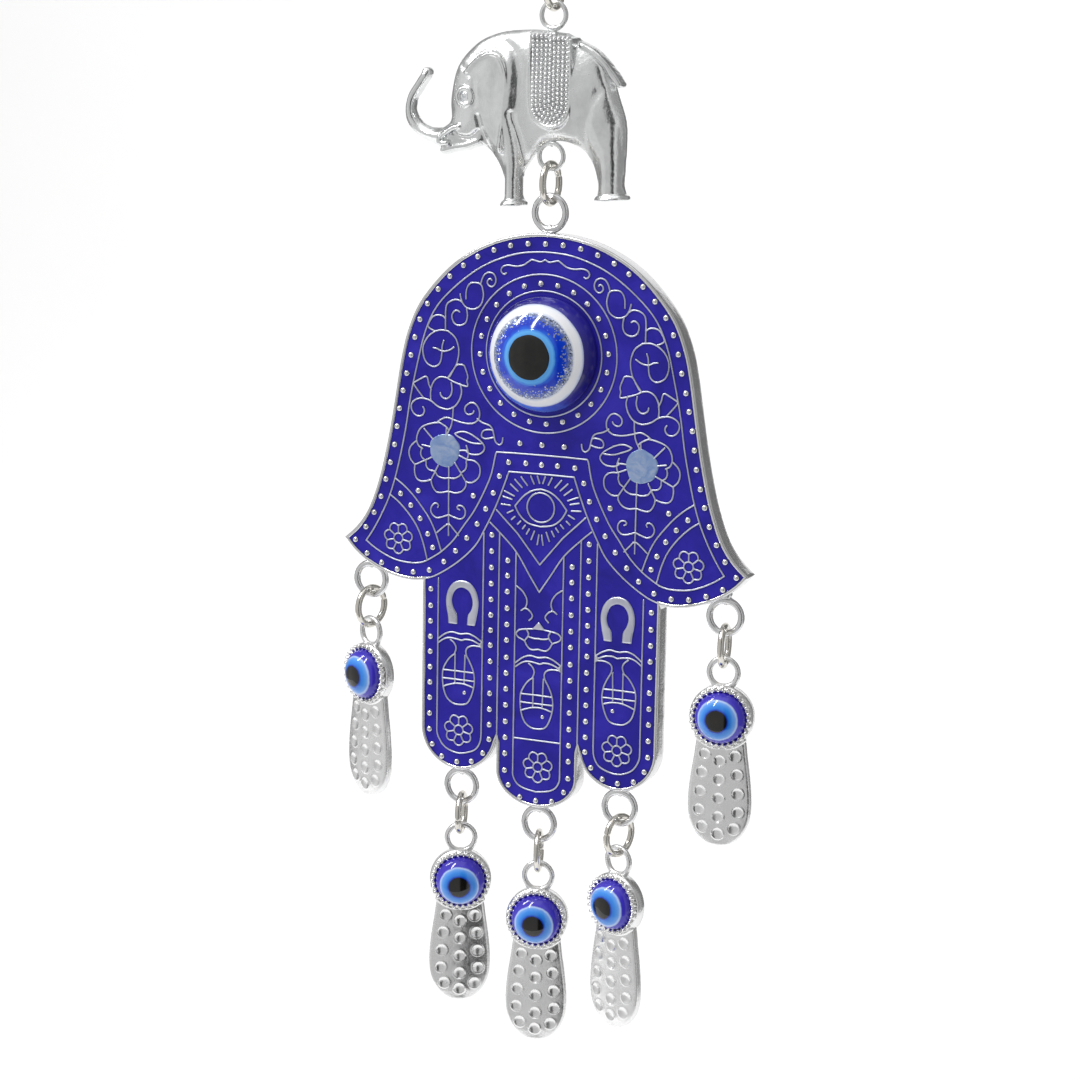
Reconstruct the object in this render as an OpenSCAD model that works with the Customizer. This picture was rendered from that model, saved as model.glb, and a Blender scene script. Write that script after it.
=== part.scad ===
// Hanging evil eye ornament: a split hanging ring, an elephant charm, a hand-shaped
// enamelled plate with a large glass-look eye, and five bead pendants on jump rings.
// Front faces -Y, +X is to the right, +Z is up. The origin is the point that a hook
// touches: the top of the inside of the hanging ring. All sizes are millimetres.

/* [Hanging ring] */
// Outer diameter of the hanging ring
ring_d = 24; // [20:1:30]
// Wire diameter of the hanging ring
ring_wire = 1.6; // [1.4:0.1:1.8]

/* [Jump rings and cast loops] */
// Outer diameter of each jump ring
link_d = 8.8; // [8.4:0.1:9.4]
// Wire diameter of each jump ring
link_wire = 1.3; // [1.1:0.1:1.4]
// Outer diameter of the loops cast on the plate
loop_d = 7.6; // [7.2:0.1:8]
// Wire diameter of the loops cast on the plate
loop_wire = 1.3; // [1.1:0.1:1.4]
// Clearance between two rings that hang in each other
play = 0.1; // [0.05:0.05:0.2]

/* [Elephant] */
// Outer diameter of the two loops on the elephant
eleph_loop_d = 5.8; // [5.6:0.1:6.2]
// Wire diameter of the two loops on the elephant
eleph_loop_wire = 0.9; // [0.8:0.1:1]
// Height from the lower loop's centre to the upper loop's centre
eleph_span = 25.9; // [25.5:0.1:26.5]
// Thickness of the flat cast body behind its raised front
eleph_back_t = 2.6; // [2.2:0.1:3]
// Diameter of the stone set in the elephant's eye
stone_d = 2.6; // [2.2:0.1:3]

/* [Plate] */
// Thickness of the hand-shaped plate
plate_t = 4; // [3.6:0.1:4.4]
// Width of the bare metal rim round the enamel
rim_w = 0.7; // [0.5:0.1:0.9]
// Depth of the enamel in the plate's front
enamel_t = 0.5; // [0.3:0.1:0.7]
// Diameter of the flat stone at the centre of each flower
flower_d = 6; // [5.4:0.2:6.4]

/* [Large eye] */
// Base diameter of the domed eye
eye_d = 22; // [21:0.5:22]
// Height of the domed eye over its seat
eye_h = 7.9; // [7.5:0.1:8.4]
// Height of the straight wall at the foot of the domed eye
eye_wall = 2.1; // [1.8:0.1:2.4]

/* [Pendants] */
// Outer diameter of the loop on each pendant
pend_loop_d = 6.6; // [6.4:0.1:6.8]
// Wire diameter of the loop on each pendant
pend_loop_wire = 1.1; // [1:0.05:1.2]
// Diameter of the round head behind each bead
head_d = 12.3; // [12:0.1:12.6]
// Diameter over the teeth of each bezel
bezel_d = 11.7; // [11.5:0.1:11.9]
// Diameter of each bead
bead_d = 10; // [9.8:0.1:10.2]
// Height of each bead
bead_h = 4.1; // [3.8:0.1:4.4]
// Height of the straight wall at the foot of each bead
bead_wall = 1.2; // [1:0.1:1.4]
// Length of each paddle below its bead's centre
paddle_l = 25.2; // [24.8:0.2:25.6]
// Thickness of each paddle
paddle_t = 2; // [1.8:0.1:2.4]

/* [Hidden] */

silver = [0.80, 0.80, 0.81];
nickel = [0.78, 0.77, 0.72];
royal = [0.13, 0.12, 0.60];

// ---- heights down the chain, from the hook at z = 0
ring_R = (ring_d - ring_wire) / 2;
link_R = (link_d - link_wire) / 2;
loop_R = (loop_d - loop_wire) / 2;
eloop_R = (eleph_loop_d - eleph_loop_wire) / 2;
ploop_R = (pend_loop_d - pend_loop_wire) / 2;

ring_z = -(ring_R - ring_wire / 2);                                   // centre of the hanging ring
ring_low = ring_z - ring_R;                                            // joint: top link on the ring
top_link_z = ring_low + (ring_wire + link_wire) / 2 + play - link_R;
top_link_low = top_link_z - link_R;                                    // joint: elephant on the top link
eloop_top_z = top_link_low + (eleph_loop_wire + link_wire) / 2 + play - eloop_R;
eloop_low_z = eloop_top_z - eleph_span;
eleph_low = eloop_low_z - eloop_R;                                     // joint: middle link on the elephant
mid_link_z = eleph_low + (eleph_loop_wire + link_wire) / 2 + play - link_R;
mid_link_low = mid_link_z - link_R;                                    // joint: plate on the middle link
plate_loop_z = mid_link_low + (loop_wire + link_wire) / 2 + play - loop_R;
eye_z = plate_loop_z - 26.4;                                           // centre of the large eye

// ---- pendants: place along the plate's lower edge, and how far each one has turned on its rings
pend_x = [-37.3, -16.9, 0, 16.9, 37.3];
pend_v = [-47.2, -86.9, -92.4, -86.9, -47.2];        // height of each cast loop below the eye's centre
link_turn = [-15, 15, 18, -17, 9];
pend_turn = [-23, 24, 14, -18, 7];
head_drop = 8.35;                                      // pendant's loop centre to its bead's centre

function link_low_z(i) = eye_z + pend_v[i] - loop_R;
function link_c_z(i) = link_low_z(i) + (loop_wire + link_wire) / 2 + play - link_R;
function pend_low_z(i) = link_c_z(i) - link_R;
function pend_c_z(i) = pend_low_z(i) + (link_wire + pend_loop_wire) / 2 + play - ploop_R;

// ---- curves
function cr(a, b, c, d, t) = 0.5 * (2 * b + (c - a) * t + (2 * a - 5 * b + 4 * c - d) * t * t + (3 * b - a - 3 * c + d) * t * t * t);
// smooth open curve through p, n steps for each span
function curve(p, n = 3) = [
    for (i = [0 : len(p) - 2]) for (k = [0 : n - 1])
        cr(p[max(i - 1, 0)], p[i], p[i + 1], p[min(i + 2, len(p) - 1)], k / n),
    p[len(p) - 1]
];
function flip_x(p) = [for (i = [len(p) - 1 : -1 : 0]) [-p[i][0], p[i][1]]];
function unit(v) = v / norm(v);
// closed outline moved inwards by d along its corner bisectors (outline runs clockwise)
function inset(p, d) = let (n = len(p)) [
    for (i = [0 : n - 1])
        let (
            a = unit(p[i] - p[(i + n - 1) % n]), b = unit(p[(i + 1) % n] - p[i]),
            na = [a[1], -a[0]], nb = [b[1], -b[0]], m = unit(na + nb),
            s = d / max(0.45, m * na)
        ) p[i] + m * s
];

// right half of the bell of the hand, from the top centre to the wing tip, then along the lower edge
bell_upper = [[0, 22.7], [5, 22.3], [10, 21.1], [15, 18.9], [19.5, 15.9], [23.5, 11.9], [26.7, 7.6],
    [28.9, 2.4], [30.2, -3], [31.2, -9], [32.2, -15], [33.4, -21], [34.9, -27], [37, -32.6], [39.4, -36.2], [42.3, -38.9]];
bell_lower = [[42.3, -38.9], [40, -41.4], [36.8, -43.6], [32.7, -45.3], [28.7, -46.1], [25.3, -46], [22, -44.9],
    [17.6, -42], [13.8, -38.4], [11.7, -34.8], [10, -31.2], [8.7, -28.2], [7.6, -25.2], [6.9, -23]];
bell_half = concat(curve(bell_upper), [for (i = [1 : 39]) curve(bell_lower)[i]]);
bell_pts = concat(bell_half, [for (q = flip_x(bell_half)) if (q[0] != 0) q]);

// finger outline: centre x, half width, where the straight sides end, depth of the round end
function finger_pts(cx, hw, v_end, depth, v_top) = concat(
    [[cx - hw, v_top], [cx + hw, v_top]],
    [for (a = [0 : 10 : 180]) [cx + hw * cos(a), v_end - depth * sin(a)]]
);
middle_finger = finger_pts(0, 8.65, -82.1, 6.6, -24);
left_finger = finger_pts(-16.8, 8.2, -75, 8.2, -32);
right_finger = finger_pts(16.8, 8.2, -75, 8.2, -32);

// stands a flat drawing up in the XZ plane, with its front at y = front
module upright(front, t) {
    translate([0, front + t, 0]) rotate([90, 0, 0]) linear_extrude(t) children();
}
// ring of round wire, flat in XZ, or edge on in YZ
module wire_ring(R, wire) {
    rotate([90, 0, 0]) rotate_extrude($fn = 64) translate([R, 0]) circle(d = wire, $fn = 32);
}
module edge_ring(R, wire, turn = 0) {
    rotate([0, 0, 90 + turn]) wire_ring(R, wire);
}
module along_y(r, front, t) {
    translate([0, front + t, 0]) rotate([90, 0, 0]) cylinder(r = r, h = t, $fn = 96);
}

module hanging_ring() color(nickel) translate([0, 0, ring_z]) wire_ring(ring_R, ring_wire);
module top_link() color(nickel) translate([0, 0, top_link_z]) edge_ring(link_R, link_wire);
module mid_link() color(nickel) translate([0, 0, mid_link_z]) edge_ring(link_R, link_wire);

// ---- elephant, drawn with the chain's axis at x = 0 and the same height scale as the plate
eleph_v = 36.9;                                        // height of the lower loop's centre in the drawing
eleph_outline = curve([
    [-2.7, 60.2], [-7.4, 60.1], [-11.5, 59.4], [-15.6, 57.5], [-19.5, 53.2], [-20.9, 47.2], [-20.8, 42.7],
    [-23.8, 42.4], [-27, 43.3], [-28.2, 46], [-26.4, 48.5], [-25.1, 50.4], [-26.9, 52.2], [-28.1, 49.8], [-30.4, 46.4],
    [-30.3, 42.8], [-28, 40.2], [-24.4, 38.5], [-21.4, 37.5], [-17.4, 37.6], [-13.7, 38.3], [-11.2, 36],
    [-9.8, 33], [-9.4, 30.4], [-9.8, 27.6]], 2);
eleph_legs = [[-5.3, 27.6], [-5.8, 30.5], [-5.3, 33.6], [-3.2, 36.8], [-0.6, 39.2], [1.4, 39.7], [4.6, 39.1],
    [7, 37.8], [8.7, 35.3], [9.2, 32], [9.5, 29.4], [16.6, 29.9], [15.2, 32.2], [15.3, 38], [14.6, 44.4],
    [12.8, 47.8], [11.6, 51.6], [13.6, 50.3], [14.6, 51], [12.5, 53.6], [10.5, 55.7], [6.8, 57.8], [3, 59.6]];
eleph_relief = curve([[-3, 57.6], [-9, 57.6], [-14, 55.6], [-17.2, 51.4], [-18.4, 46], [-17, 41.6], [-13, 40.6],
    [-9, 37.4], [-6.6, 37], [-4.4, 40.6], [1, 42.4], [6, 41.6], [10, 39.6], [12.8, 40.6], [12.4, 46], [9.4, 52.4], [5, 56.2], [-3, 57.6]], 2);
ear_outline = curve([[-17.4, 52.1], [-15.5, 54.1], [-13.5, 55.5], [-11.4, 56.2], [-9.4, 55.6], [-7.6, 52.6], [-7.4, 49.9],
    [-7.8, 46.2], [-8.3, 42.5], [-9, 37.2], [-11, 39.1], [-12.9, 41.4], [-14, 45], [-14, 49.2], [-17.4, 52.1]], 2);

module elephant_body() color(silver) translate([0, 0, eloop_low_z - eleph_v]) {
    difference() {
        union() {
            upright(-1.4, eleph_back_t) polygon(concat(eleph_outline, eleph_legs));
            upright(-2.4, 1.2) polygon(eleph_relief);
            upright(-3, 0.8) polygon(ear_outline);
            // blanket with a round lower end
            translate([0, 0, 46.4]) along_y(4.2, -3.1, 0.9);
            upright(-3.1, 0.9) polygon([[-4.2, 46.4], [4.6, 46.4], [4.6, 58.4], [-3.6, 59.4]]);
            // socket of the eye stone
            translate([-16.7, 0, 47.6]) along_y(2, -3.2, 2);
            // two hooves
            upright(-2.2, 3) polygon([[-10, 27.4], [-5.1, 27.4], [-5.5, 29], [-9.6, 29]]);
            upright(-2.2, 3) polygon([[9.4, 29.2], [16.8, 29.7], [16.2, 31.1], [9.8, 30.8]]);
            // cast loops
            translate([0, 0, eleph_v]) wire_ring(eloop_R, eleph_loop_wire);
            translate([0, 0, eleph_v + eleph_span]) wire_ring(eloop_R, eleph_loop_wire);
        }
        translate([-16.7, 0, 47.6]) along_y(stone_d / 2, -4, 1.7);
        // shallow hollow in the cast back
        upright(0.7, 1) polygon([[-3, 57], [-9, 57], [-13.4, 55], [-16.6, 51], [-17.4, 46], [-15, 42.6], [-9, 42], [-2, 43],
            [6, 42.6], [12, 42], [12, 45.6], [9, 52], [4.6, 56]]);
    }
}
module elephant_eye_stone() color([0.9, 0.9, 0.92]) translate([-16.7, 0, eloop_low_z - eleph_v + 47.6])
    translate([0, -2.3, 0]) rotate([90, 0, 0]) {
        cylinder(d = stone_d - 0.04, h = 0.4, $fn = 48);
        translate([0, 0, 0.4]) cylinder(d1 = stone_d - 0.04, d2 = 1.5, h = 0.6, $fn = 48);
    }

// ---- plate
plate_f = -plate_t / 2;
module plate_outline() {
    polygon(bell_pts);
    translate([0, -34]) square([20, 26], center = true);
    polygon(middle_finger);
    polygon(left_finger);
    polygon(right_finger);
}
module enamel_cells() {
    difference() {
        polygon(inset(bell_pts, rim_w));
        circle(r = eye_d / 2 + 0.05, $fn = 96);
        difference() { circle(r = 15.2, $fn = 96); circle(r = 14.8, $fn = 96); }
        difference() { circle(r = 12.1, $fn = 96); circle(r = 11.7, $fn = 96); }
        for (s = [-1, 1]) translate([s * 20.5, -19.9]) circle(d = flower_d, $fn = 64);
        // strip that stays clear above the fingers' roots
        polygon([[-6.9, -23.2], [6.9, -23.2], [12, -35.6], [-12, -35.6]]);
    }
    // chest panel
    polygon([[-6.3, -23.6], [6.3, -23.6], [9.2, -30.8], [0, -40], [-9.2, -30.8]]);
    difference() {
        polygon(inset(middle_finger, rim_w));
        polygon([[-12, 0], [12, 0], [10.6, -33.4], [0, -46.2], [-10.6, -33.4]]);
        polygon(bell_pts);
    }
    for (s = [-1, 1]) difference() {
        polygon(inset(s < 0 ? left_finger : right_finger, rim_w));
        polygon(bell_pts);
        translate([s * 4.4, -60]) square([9, 100], center = true);
    }
}
// loop cast on the plate's edge, with a short root
module cast_loop(x, v, up) translate([x, 0, v]) {
    wire_ring(loop_R, loop_wire);
    translate([0, 0, up * (loop_R + 0.35)]) cube([2.4, loop_wire, 1.1], center = true);
}
module hamsa_plate() color(silver) translate([0, 0, eye_z]) {
    difference() {
        upright(plate_f, plate_t) plate_outline();
        upright(plate_f - 0.01, enamel_t + 0.01) enamel_cells();
        along_y(eye_d / 2 + 0.05, plate_f - 1, enamel_t + 1);
        for (s = [-1, 1]) translate([s * 20.5, 0, -19.9]) along_y(flower_d / 2, plate_f - 1, enamel_t + 1);
    }
    cast_loop(0, 26.4, -1);
    for (i = [0 : 4]) cast_loop(pend_x[i], pend_v[i], 1);
}
module hamsa_enamel() color(royal) translate([0, 0, eye_z])
    upright(plate_f + 0.05, enamel_t - 0.05) enamel_cells();
module flower_stone(s) color([0.62, 0.70, 0.80]) translate([s * 20.5, plate_f + enamel_t, eye_z - 19.9]) rotate([90, 0, 0]) {
    cylinder(d = flower_d - 0.04, h = enamel_t, $fn = 64);
    translate([0, 0, enamel_t]) cylinder(d1 = flower_d - 0.04, d2 = flower_d - 0.6, h = 0.15, $fn = 64);
}
module flower_stone_left() flower_stone(-1);
module flower_stone_right() flower_stone(1);

// ---- large eye: a dome with four coloured zones set into its surface
eye_base = plate_f + enamel_t;                         // y of the dome's seat
eye_cap = eye_h - eye_wall;
eye_S = (eye_d * eye_d / 4 + eye_cap * eye_cap) / (2 * eye_cap);
zone_t = 0.6;
module dome(S, top) {
    intersection() {
        translate([0, eye_base - eye_h + S + (top), 0]) sphere(r = S, $fn = 96);
        along_y(eye_d / 2, eye_base - 20, 20);
    }
}
module zone(r_in, r_out) translate([0, 0, eye_z]) difference() {
    intersection() {
        translate([0, eye_base - eye_h + eye_S, 0]) sphere(r = eye_S, $fn = 96);
        along_y(r_out, eye_base - 20, 20);
    }
    translate([0, eye_base - eye_h + eye_S, 0]) sphere(r = eye_S - zone_t, $fn = 96);
    if (r_in > 0) along_y(r_in, eye_base - 30, 40);
}
module eye_body() color([0.10, 0.12, 0.45]) translate([0, 0, eye_z]) difference() {
    dome(eye_S, 0);
    difference() {
        along_y(9.7, eye_base - 20, 20);
        translate([0, eye_base - eye_h + eye_S, 0]) sphere(r = eye_S - zone_t, $fn = 96);
    }
}
module eye_white_ring() color([0.95, 0.96, 1]) zone(8.1, 9.7);
module eye_glitter_ring() color([0.10, 0.30, 0.75]) zone(5.3, 8.1);
module eye_light_ring() color([0.35, 0.62, 0.92]) zone(4.2, 5.3);
module eye_pupil() color([0.05, 0.05, 0.05]) zone(0, 4.2);

// ---- jump rings under the plate
module under_link(i) color(nickel) translate([pend_x[i], 0, link_c_z(i)]) edge_ring(link_R, link_wire, link_turn[i]);
module link_1() under_link(0);
module link_2() under_link(1);
module link_3() under_link(2);
module link_4() under_link(3);
module link_5() under_link(4);

// ---- pendants, drawn with the loop's centre at the origin
head_f = -1.4;                                         // y of the round head's front
bezel_f = -2.4;                                        // y of the bezel's front
cup_f = -1;                                            // y of the bead's seat
teeth = 28;
paddle_half = curve([[4.2, 3], [4.7, 5], [5.1, 8], [5.6, 11.3], [5.95, 14.6], [6.05, 17.4], [5.85, 19.6], [5.2, 21.6],
    [4, 23.4], [2.2, 24.7], [0, paddle_l]], 2);
paddle_pts = concat([for (q = paddle_half) [q[0], -q[1]]], [for (i = [len(paddle_half) - 2 : -1 : 0]) [-paddle_half[i][0], -paddle_half[i][1]]]);
dimple_x = [2.9, 3.35, 3.6, 3.75, 3.05];
dimple_d = [7.3, 10.9, 14.6, 18.2, 21.4];
middle_d = [8.4, 12, 15.7, 19.3, 22.6];
dimple_S = 1.7;
module dimple(x, d) translate([x, -paddle_t / 2 - dimple_S + 0.55, -d]) sphere(r = dimple_S, $fn = 32);

module place(i) translate([pend_x[i], 0, pend_c_z(i)]) rotate([0, 0, pend_turn[i]]) children();
module pendant(i) color(silver) place(i) {
    wire_ring(ploop_R, pend_loop_wire);
    translate([0, 0, -head_drop]) difference() {
        union() {
            along_y(head_d / 2, head_f, 2.6);
            upright(bezel_f, 1.2) polygon([for (k = [0 : 2 * teeth - 1])
                (k % 2 == 0 ? bezel_d / 2 : bezel_d / 2 - 0.5) * [cos(k * 180 / teeth), sin(k * 180 / teeth)]]);
            upright(-paddle_t / 2, paddle_t) polygon(paddle_pts);
        }
        along_y(bead_d / 2 + 0.02, -10, 10 + cup_f);
        for (k = [0 : 4]) {
            dimple(dimple_x[k], dimple_d[k]);
            dimple(-dimple_x[k], dimple_d[k]);
            dimple(0, middle_d[k]);
        }
    }
}
module pendant_1() pendant(0);
module pendant_2() pendant(1);
module pendant_3() pendant(2);
module pendant_4() pendant(3);
module pendant_5() pendant(4);

bead_cap = bead_h - bead_wall;
bead_S = (bead_d * bead_d / 4 + bead_cap * bead_cap) / (2 * bead_cap);
module bead(i) color([0.25, 0.50, 0.92]) place(i) translate([0, 0, -head_drop]) intersection() {
    translate([0, cup_f - bead_h + bead_S, 0]) sphere(r = bead_S, $fn = 64);
    along_y(bead_d / 2, cup_f - 12, 12);
}
module bead_1() bead(0);
module bead_2() bead(1);
module bead_3() bead(2);
module bead_4() bead(3);
module bead_5() bead(4);

hanging_ring();
top_link();
elephant_body();
elephant_eye_stone();
mid_link();
hamsa_plate();
hamsa_enamel();
flower_stone_left();
flower_stone_right();
eye_body();
eye_white_ring();
eye_glitter_ring();
eye_light_ring();
eye_pupil();
link_1();
link_2();
link_3();
link_4();
link_5();
pendant_1();
pendant_2();
pendant_3();
pendant_4();
pendant_5();
bead_1();
bead_2();
bead_3();
bead_4();
bead_5();
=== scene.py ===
import math
import bpy
import numpy as np
from mathutils import Matrix, Vector


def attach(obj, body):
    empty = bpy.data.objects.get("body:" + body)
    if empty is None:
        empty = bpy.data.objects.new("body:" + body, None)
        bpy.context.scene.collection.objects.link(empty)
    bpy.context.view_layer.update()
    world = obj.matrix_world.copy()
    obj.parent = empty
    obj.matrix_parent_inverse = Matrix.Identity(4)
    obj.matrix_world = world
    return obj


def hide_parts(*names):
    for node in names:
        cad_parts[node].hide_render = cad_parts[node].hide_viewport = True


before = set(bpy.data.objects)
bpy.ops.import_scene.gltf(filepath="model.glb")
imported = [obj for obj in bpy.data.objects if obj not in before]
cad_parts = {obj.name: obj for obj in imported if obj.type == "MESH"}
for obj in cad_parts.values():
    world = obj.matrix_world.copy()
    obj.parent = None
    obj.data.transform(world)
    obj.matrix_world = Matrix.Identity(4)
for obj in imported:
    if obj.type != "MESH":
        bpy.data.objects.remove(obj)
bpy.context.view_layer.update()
MM = 0.001
rng = np.random.default_rng(7)

# ---------------------------------------------------------------- heights down the chain (mm), as in the CAD source
RING_R, LINK_R, LOOP_R, ELOOP_R, PLOOP_R = 11.2, 3.75, 3.15, 2.45, 2.75
RING_Z, TOP_Z, ELOOP_TOP, ELOOP_LOW, MID_Z, PLATE_LOOP_Z, EYE_Z = -10.4, -23.8, -28.8, -54.7, -59.7, -65.2, -91.6
PEND_X = [-37.3, -16.9, 0.0, 16.9, 37.3]
PEND_V = [-47.2, -86.9, -92.4, -86.9, -47.2]
LINK_TURN = [-15, 15, 18, -17, 9]
PEND_TURN = [-23, 24, 14, -18, 7]
LINK_C = [EYE_Z + v - 5.5 for v in [-47.2, -86.9, -92.4, -86.9, -47.2]]
LINK_C = [-144.3, -184.0, -189.5, -184.0, -144.3]
PEND_C = [-149.5, -189.2, -194.7, -189.2, -149.5]
HEAD_DROP = 8.35


# ---------------------------------------------------------------- curves
def cr(points, n=6, closed=False):
    """Smooth curve through the points, n steps a span."""
    p = np.asarray(points, float)
    m = len(p)
    out = []
    for i in range(m if closed else m - 1):
        a, b, c, d = [p[(i + k) % m] if closed else p[min(max(i + k, 0), m - 1)] for k in (-1, 0, 1, 2)]
        for k in range(n):
            t = k / n
            out.append(0.5 * (2 * b + (c - a) * t + (2 * a - 5 * b + 4 * c - d) * t * t + (3 * b - a - 3 * c + d) * t ** 3))
    if not closed:
        out.append(p[-1])
    return np.array(out)


def resample(p, step, closed=False):
    p = np.asarray(p, float)
    q = np.vstack([p, p[:1]]) if closed else p
    seg = np.linalg.norm(np.diff(q, axis=0), axis=1)
    keep = np.r_[True, seg > 1e-9]
    q = q[keep]
    s = np.r_[0, np.cumsum(np.linalg.norm(np.diff(q, axis=0), axis=1))]
    n = max(2, int(round(s[-1] / step)))
    t = np.linspace(0, s[-1], n + 1)
    out = np.stack([np.interp(t, s, q[:, k]) for k in range(q.shape[1])], 1)
    return out[:-1] if closed else out


def mirror(p):
    return [(-x, v) for x, v in p]


# ---------------------------------------------------------------- meshes
class Build:
    """Collects vertices (mm) and faces, with a material number for each face."""

    def __init__(self):
        self.v, self.f, self.m, self.n = [], [], [], 0

    def add(self, verts, faces, mat=0):
        verts = np.asarray(verts, float)
        self.v.append(verts)
        self.f += [tuple(int(i) + self.n for i in f) for f in faces]
        self.m += [mat] * len(faces)
        self.n += len(verts)

    def grid(self, pts, wrap_u=False, wrap_v=False, mat=0, flip=False):
        """pts is an array (nu, nv, 3)."""
        nu, nv = pts.shape[:2]
        faces = []
        for i in range(nu if wrap_u else nu - 1):
            i2 = (i + 1) % nu
            for j in range(nv if wrap_v else nv - 1):
                j2 = (j + 1) % nv
                q = (i * nv + j, i2 * nv + j, i2 * nv + j2, i * nv + j2)
                faces.append(q[::-1] if flip else q)
        self.add(pts.reshape(-1, 3), faces, mat)

    def tube(self, path, r, sides=10, closed=False, squash=None, caps=True, mat=0, up=(0, 1, 0)):
        """Round wire along a 3-D path; r a number or one for each point. squash=(a, b) scales the section across and along up."""
        path = np.asarray(path, float)
        n = len(path)
        r = np.full(n, float(r)) if np.isscalar(r) else np.asarray(r, float)
        if closed:
            tan = np.roll(path, -1, 0) - np.roll(path, 1, 0)
        else:
            tan = np.gradient(path, axis=0)
        tan /= np.maximum(np.linalg.norm(tan, axis=1), 1e-12)[:, None]
        up = np.asarray(up, float)
        side = np.cross(tan, up)
        side /= np.maximum(np.linalg.norm(side, axis=1), 1e-12)[:, None]
        top = np.cross(side, tan)
        a, b = squash or (1, 1)
        if caps and not closed:  # rounded ends
            add = []
            for end in (0, -1):
                s = -1 if end == 0 else 1
                for k in (1, 2, 3):
                    w = k / 3 * math.pi / 2
                    add.append((path[end] + s * tan[end] * r[end] * math.sin(w), side[end], top[end], r[end] * max(math.cos(w), 0.02)))
            first, last = add[:3][::-1], add[3:]
            path = np.vstack([[q[0] for q in first], path, [q[0] for q in last]])
            side = np.vstack([[q[1] for q in first], side, [q[1] for q in last]])
            top = np.vstack([[q[2] for q in first], top, [q[2] for q in last]])
            r = np.r_[[q[3] for q in first], r, [q[3] for q in last]]
        th = np.arange(sides) * 2 * math.pi / sides
        pts = path[:, None] + r[:, None, None] * (a * np.cos(th)[None, :, None] * side[:, None] + b * np.sin(th)[None, :, None] * top[:, None])
        self.grid(pts, wrap_u=closed, wrap_v=True, mat=mat)
        if not closed:
            n0 = self.n - len(pts) * sides
            self.f += [tuple(n0 + k for k in range(sides))[::-1], tuple(self.n - sides + k for k in range(sides))]
            self.m += [mat, mat]

    def lathe(self, profile, sides=96, centre=(0, 0), mat=0, wave=None):
        """profile is [(radius, y)] from the axis outwards; turned about Y through centre (x, z). wave(theta, k, r, y) may change a point."""
        th = np.arange(sides) * 2 * math.pi / sides
        rows = []
        for k, (r, y) in enumerate(profile):
            rr, yy = np.full(sides, float(r)), np.full(sides, float(y))
            if wave is not None:
                rr, yy = wave(th, k, rr, yy)
            rows.append(np.stack([centre[0] + rr * np.cos(th), yy, centre[1] + rr * np.sin(th)], 1))
        self.grid(np.array(rows), wrap_v=True, mat=mat)

    def dome(self, x, y, z, r, h, sides=14, rings=5, mat=0):
        """Small round-topped stud standing on y towards the front."""
        prof = [(r * math.sin(a), y - h * math.cos(a)) for a in np.linspace(0.001, math.pi / 2, rings + 1)]
        prof.append((r * 1.0, y + 0.12))
        self.lathe(prof, sides, (x, z), mat)

    def object(self, name, body, mats, replaces=(), smooth=True, slot=None, place=None, attrs=None, sharp=None):
        me = bpy.data.meshes.new(name)
        v = np.concatenate(self.v) * MM
        me.from_pydata([tuple(p) for p in v], [], self.f)
        me.materials.clear()
        for m in mats:
            me.materials.append(m)
        me.polygons.foreach_set("material_index", self.m)
        me.polygons.foreach_set("use_smooth", [smooth] * len(self.f))
        for key, values in (attrs or {}).items():
            at = me.attributes.new(key, "FLOAT", "POINT")
            at.data.foreach_set("value", np.asarray(values, np.float32))
        me.update()
        me.validate()
        ob = bpy.data.objects.new(name, me)
        bpy.context.scene.collection.objects.link(ob)
        fix_normals(me)
        if sharp:
            me.set_sharp_from_angle(angle=math.radians(sharp))
        if place is not None:
            ob.matrix_world = place
        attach(ob, body)
        if replaces:
            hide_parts(*replaces)
        return ob


def fix_normals(me):
    import bmesh
    bm = bmesh.new()
    bm.from_mesh(me)
    bmesh.ops.remove_doubles(bm, verts=bm.verts, dist=1e-7)
    bmesh.ops.recalc_face_normals(bm, faces=bm.faces)
    bm.to_mesh(me)
    bm.free()


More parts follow.
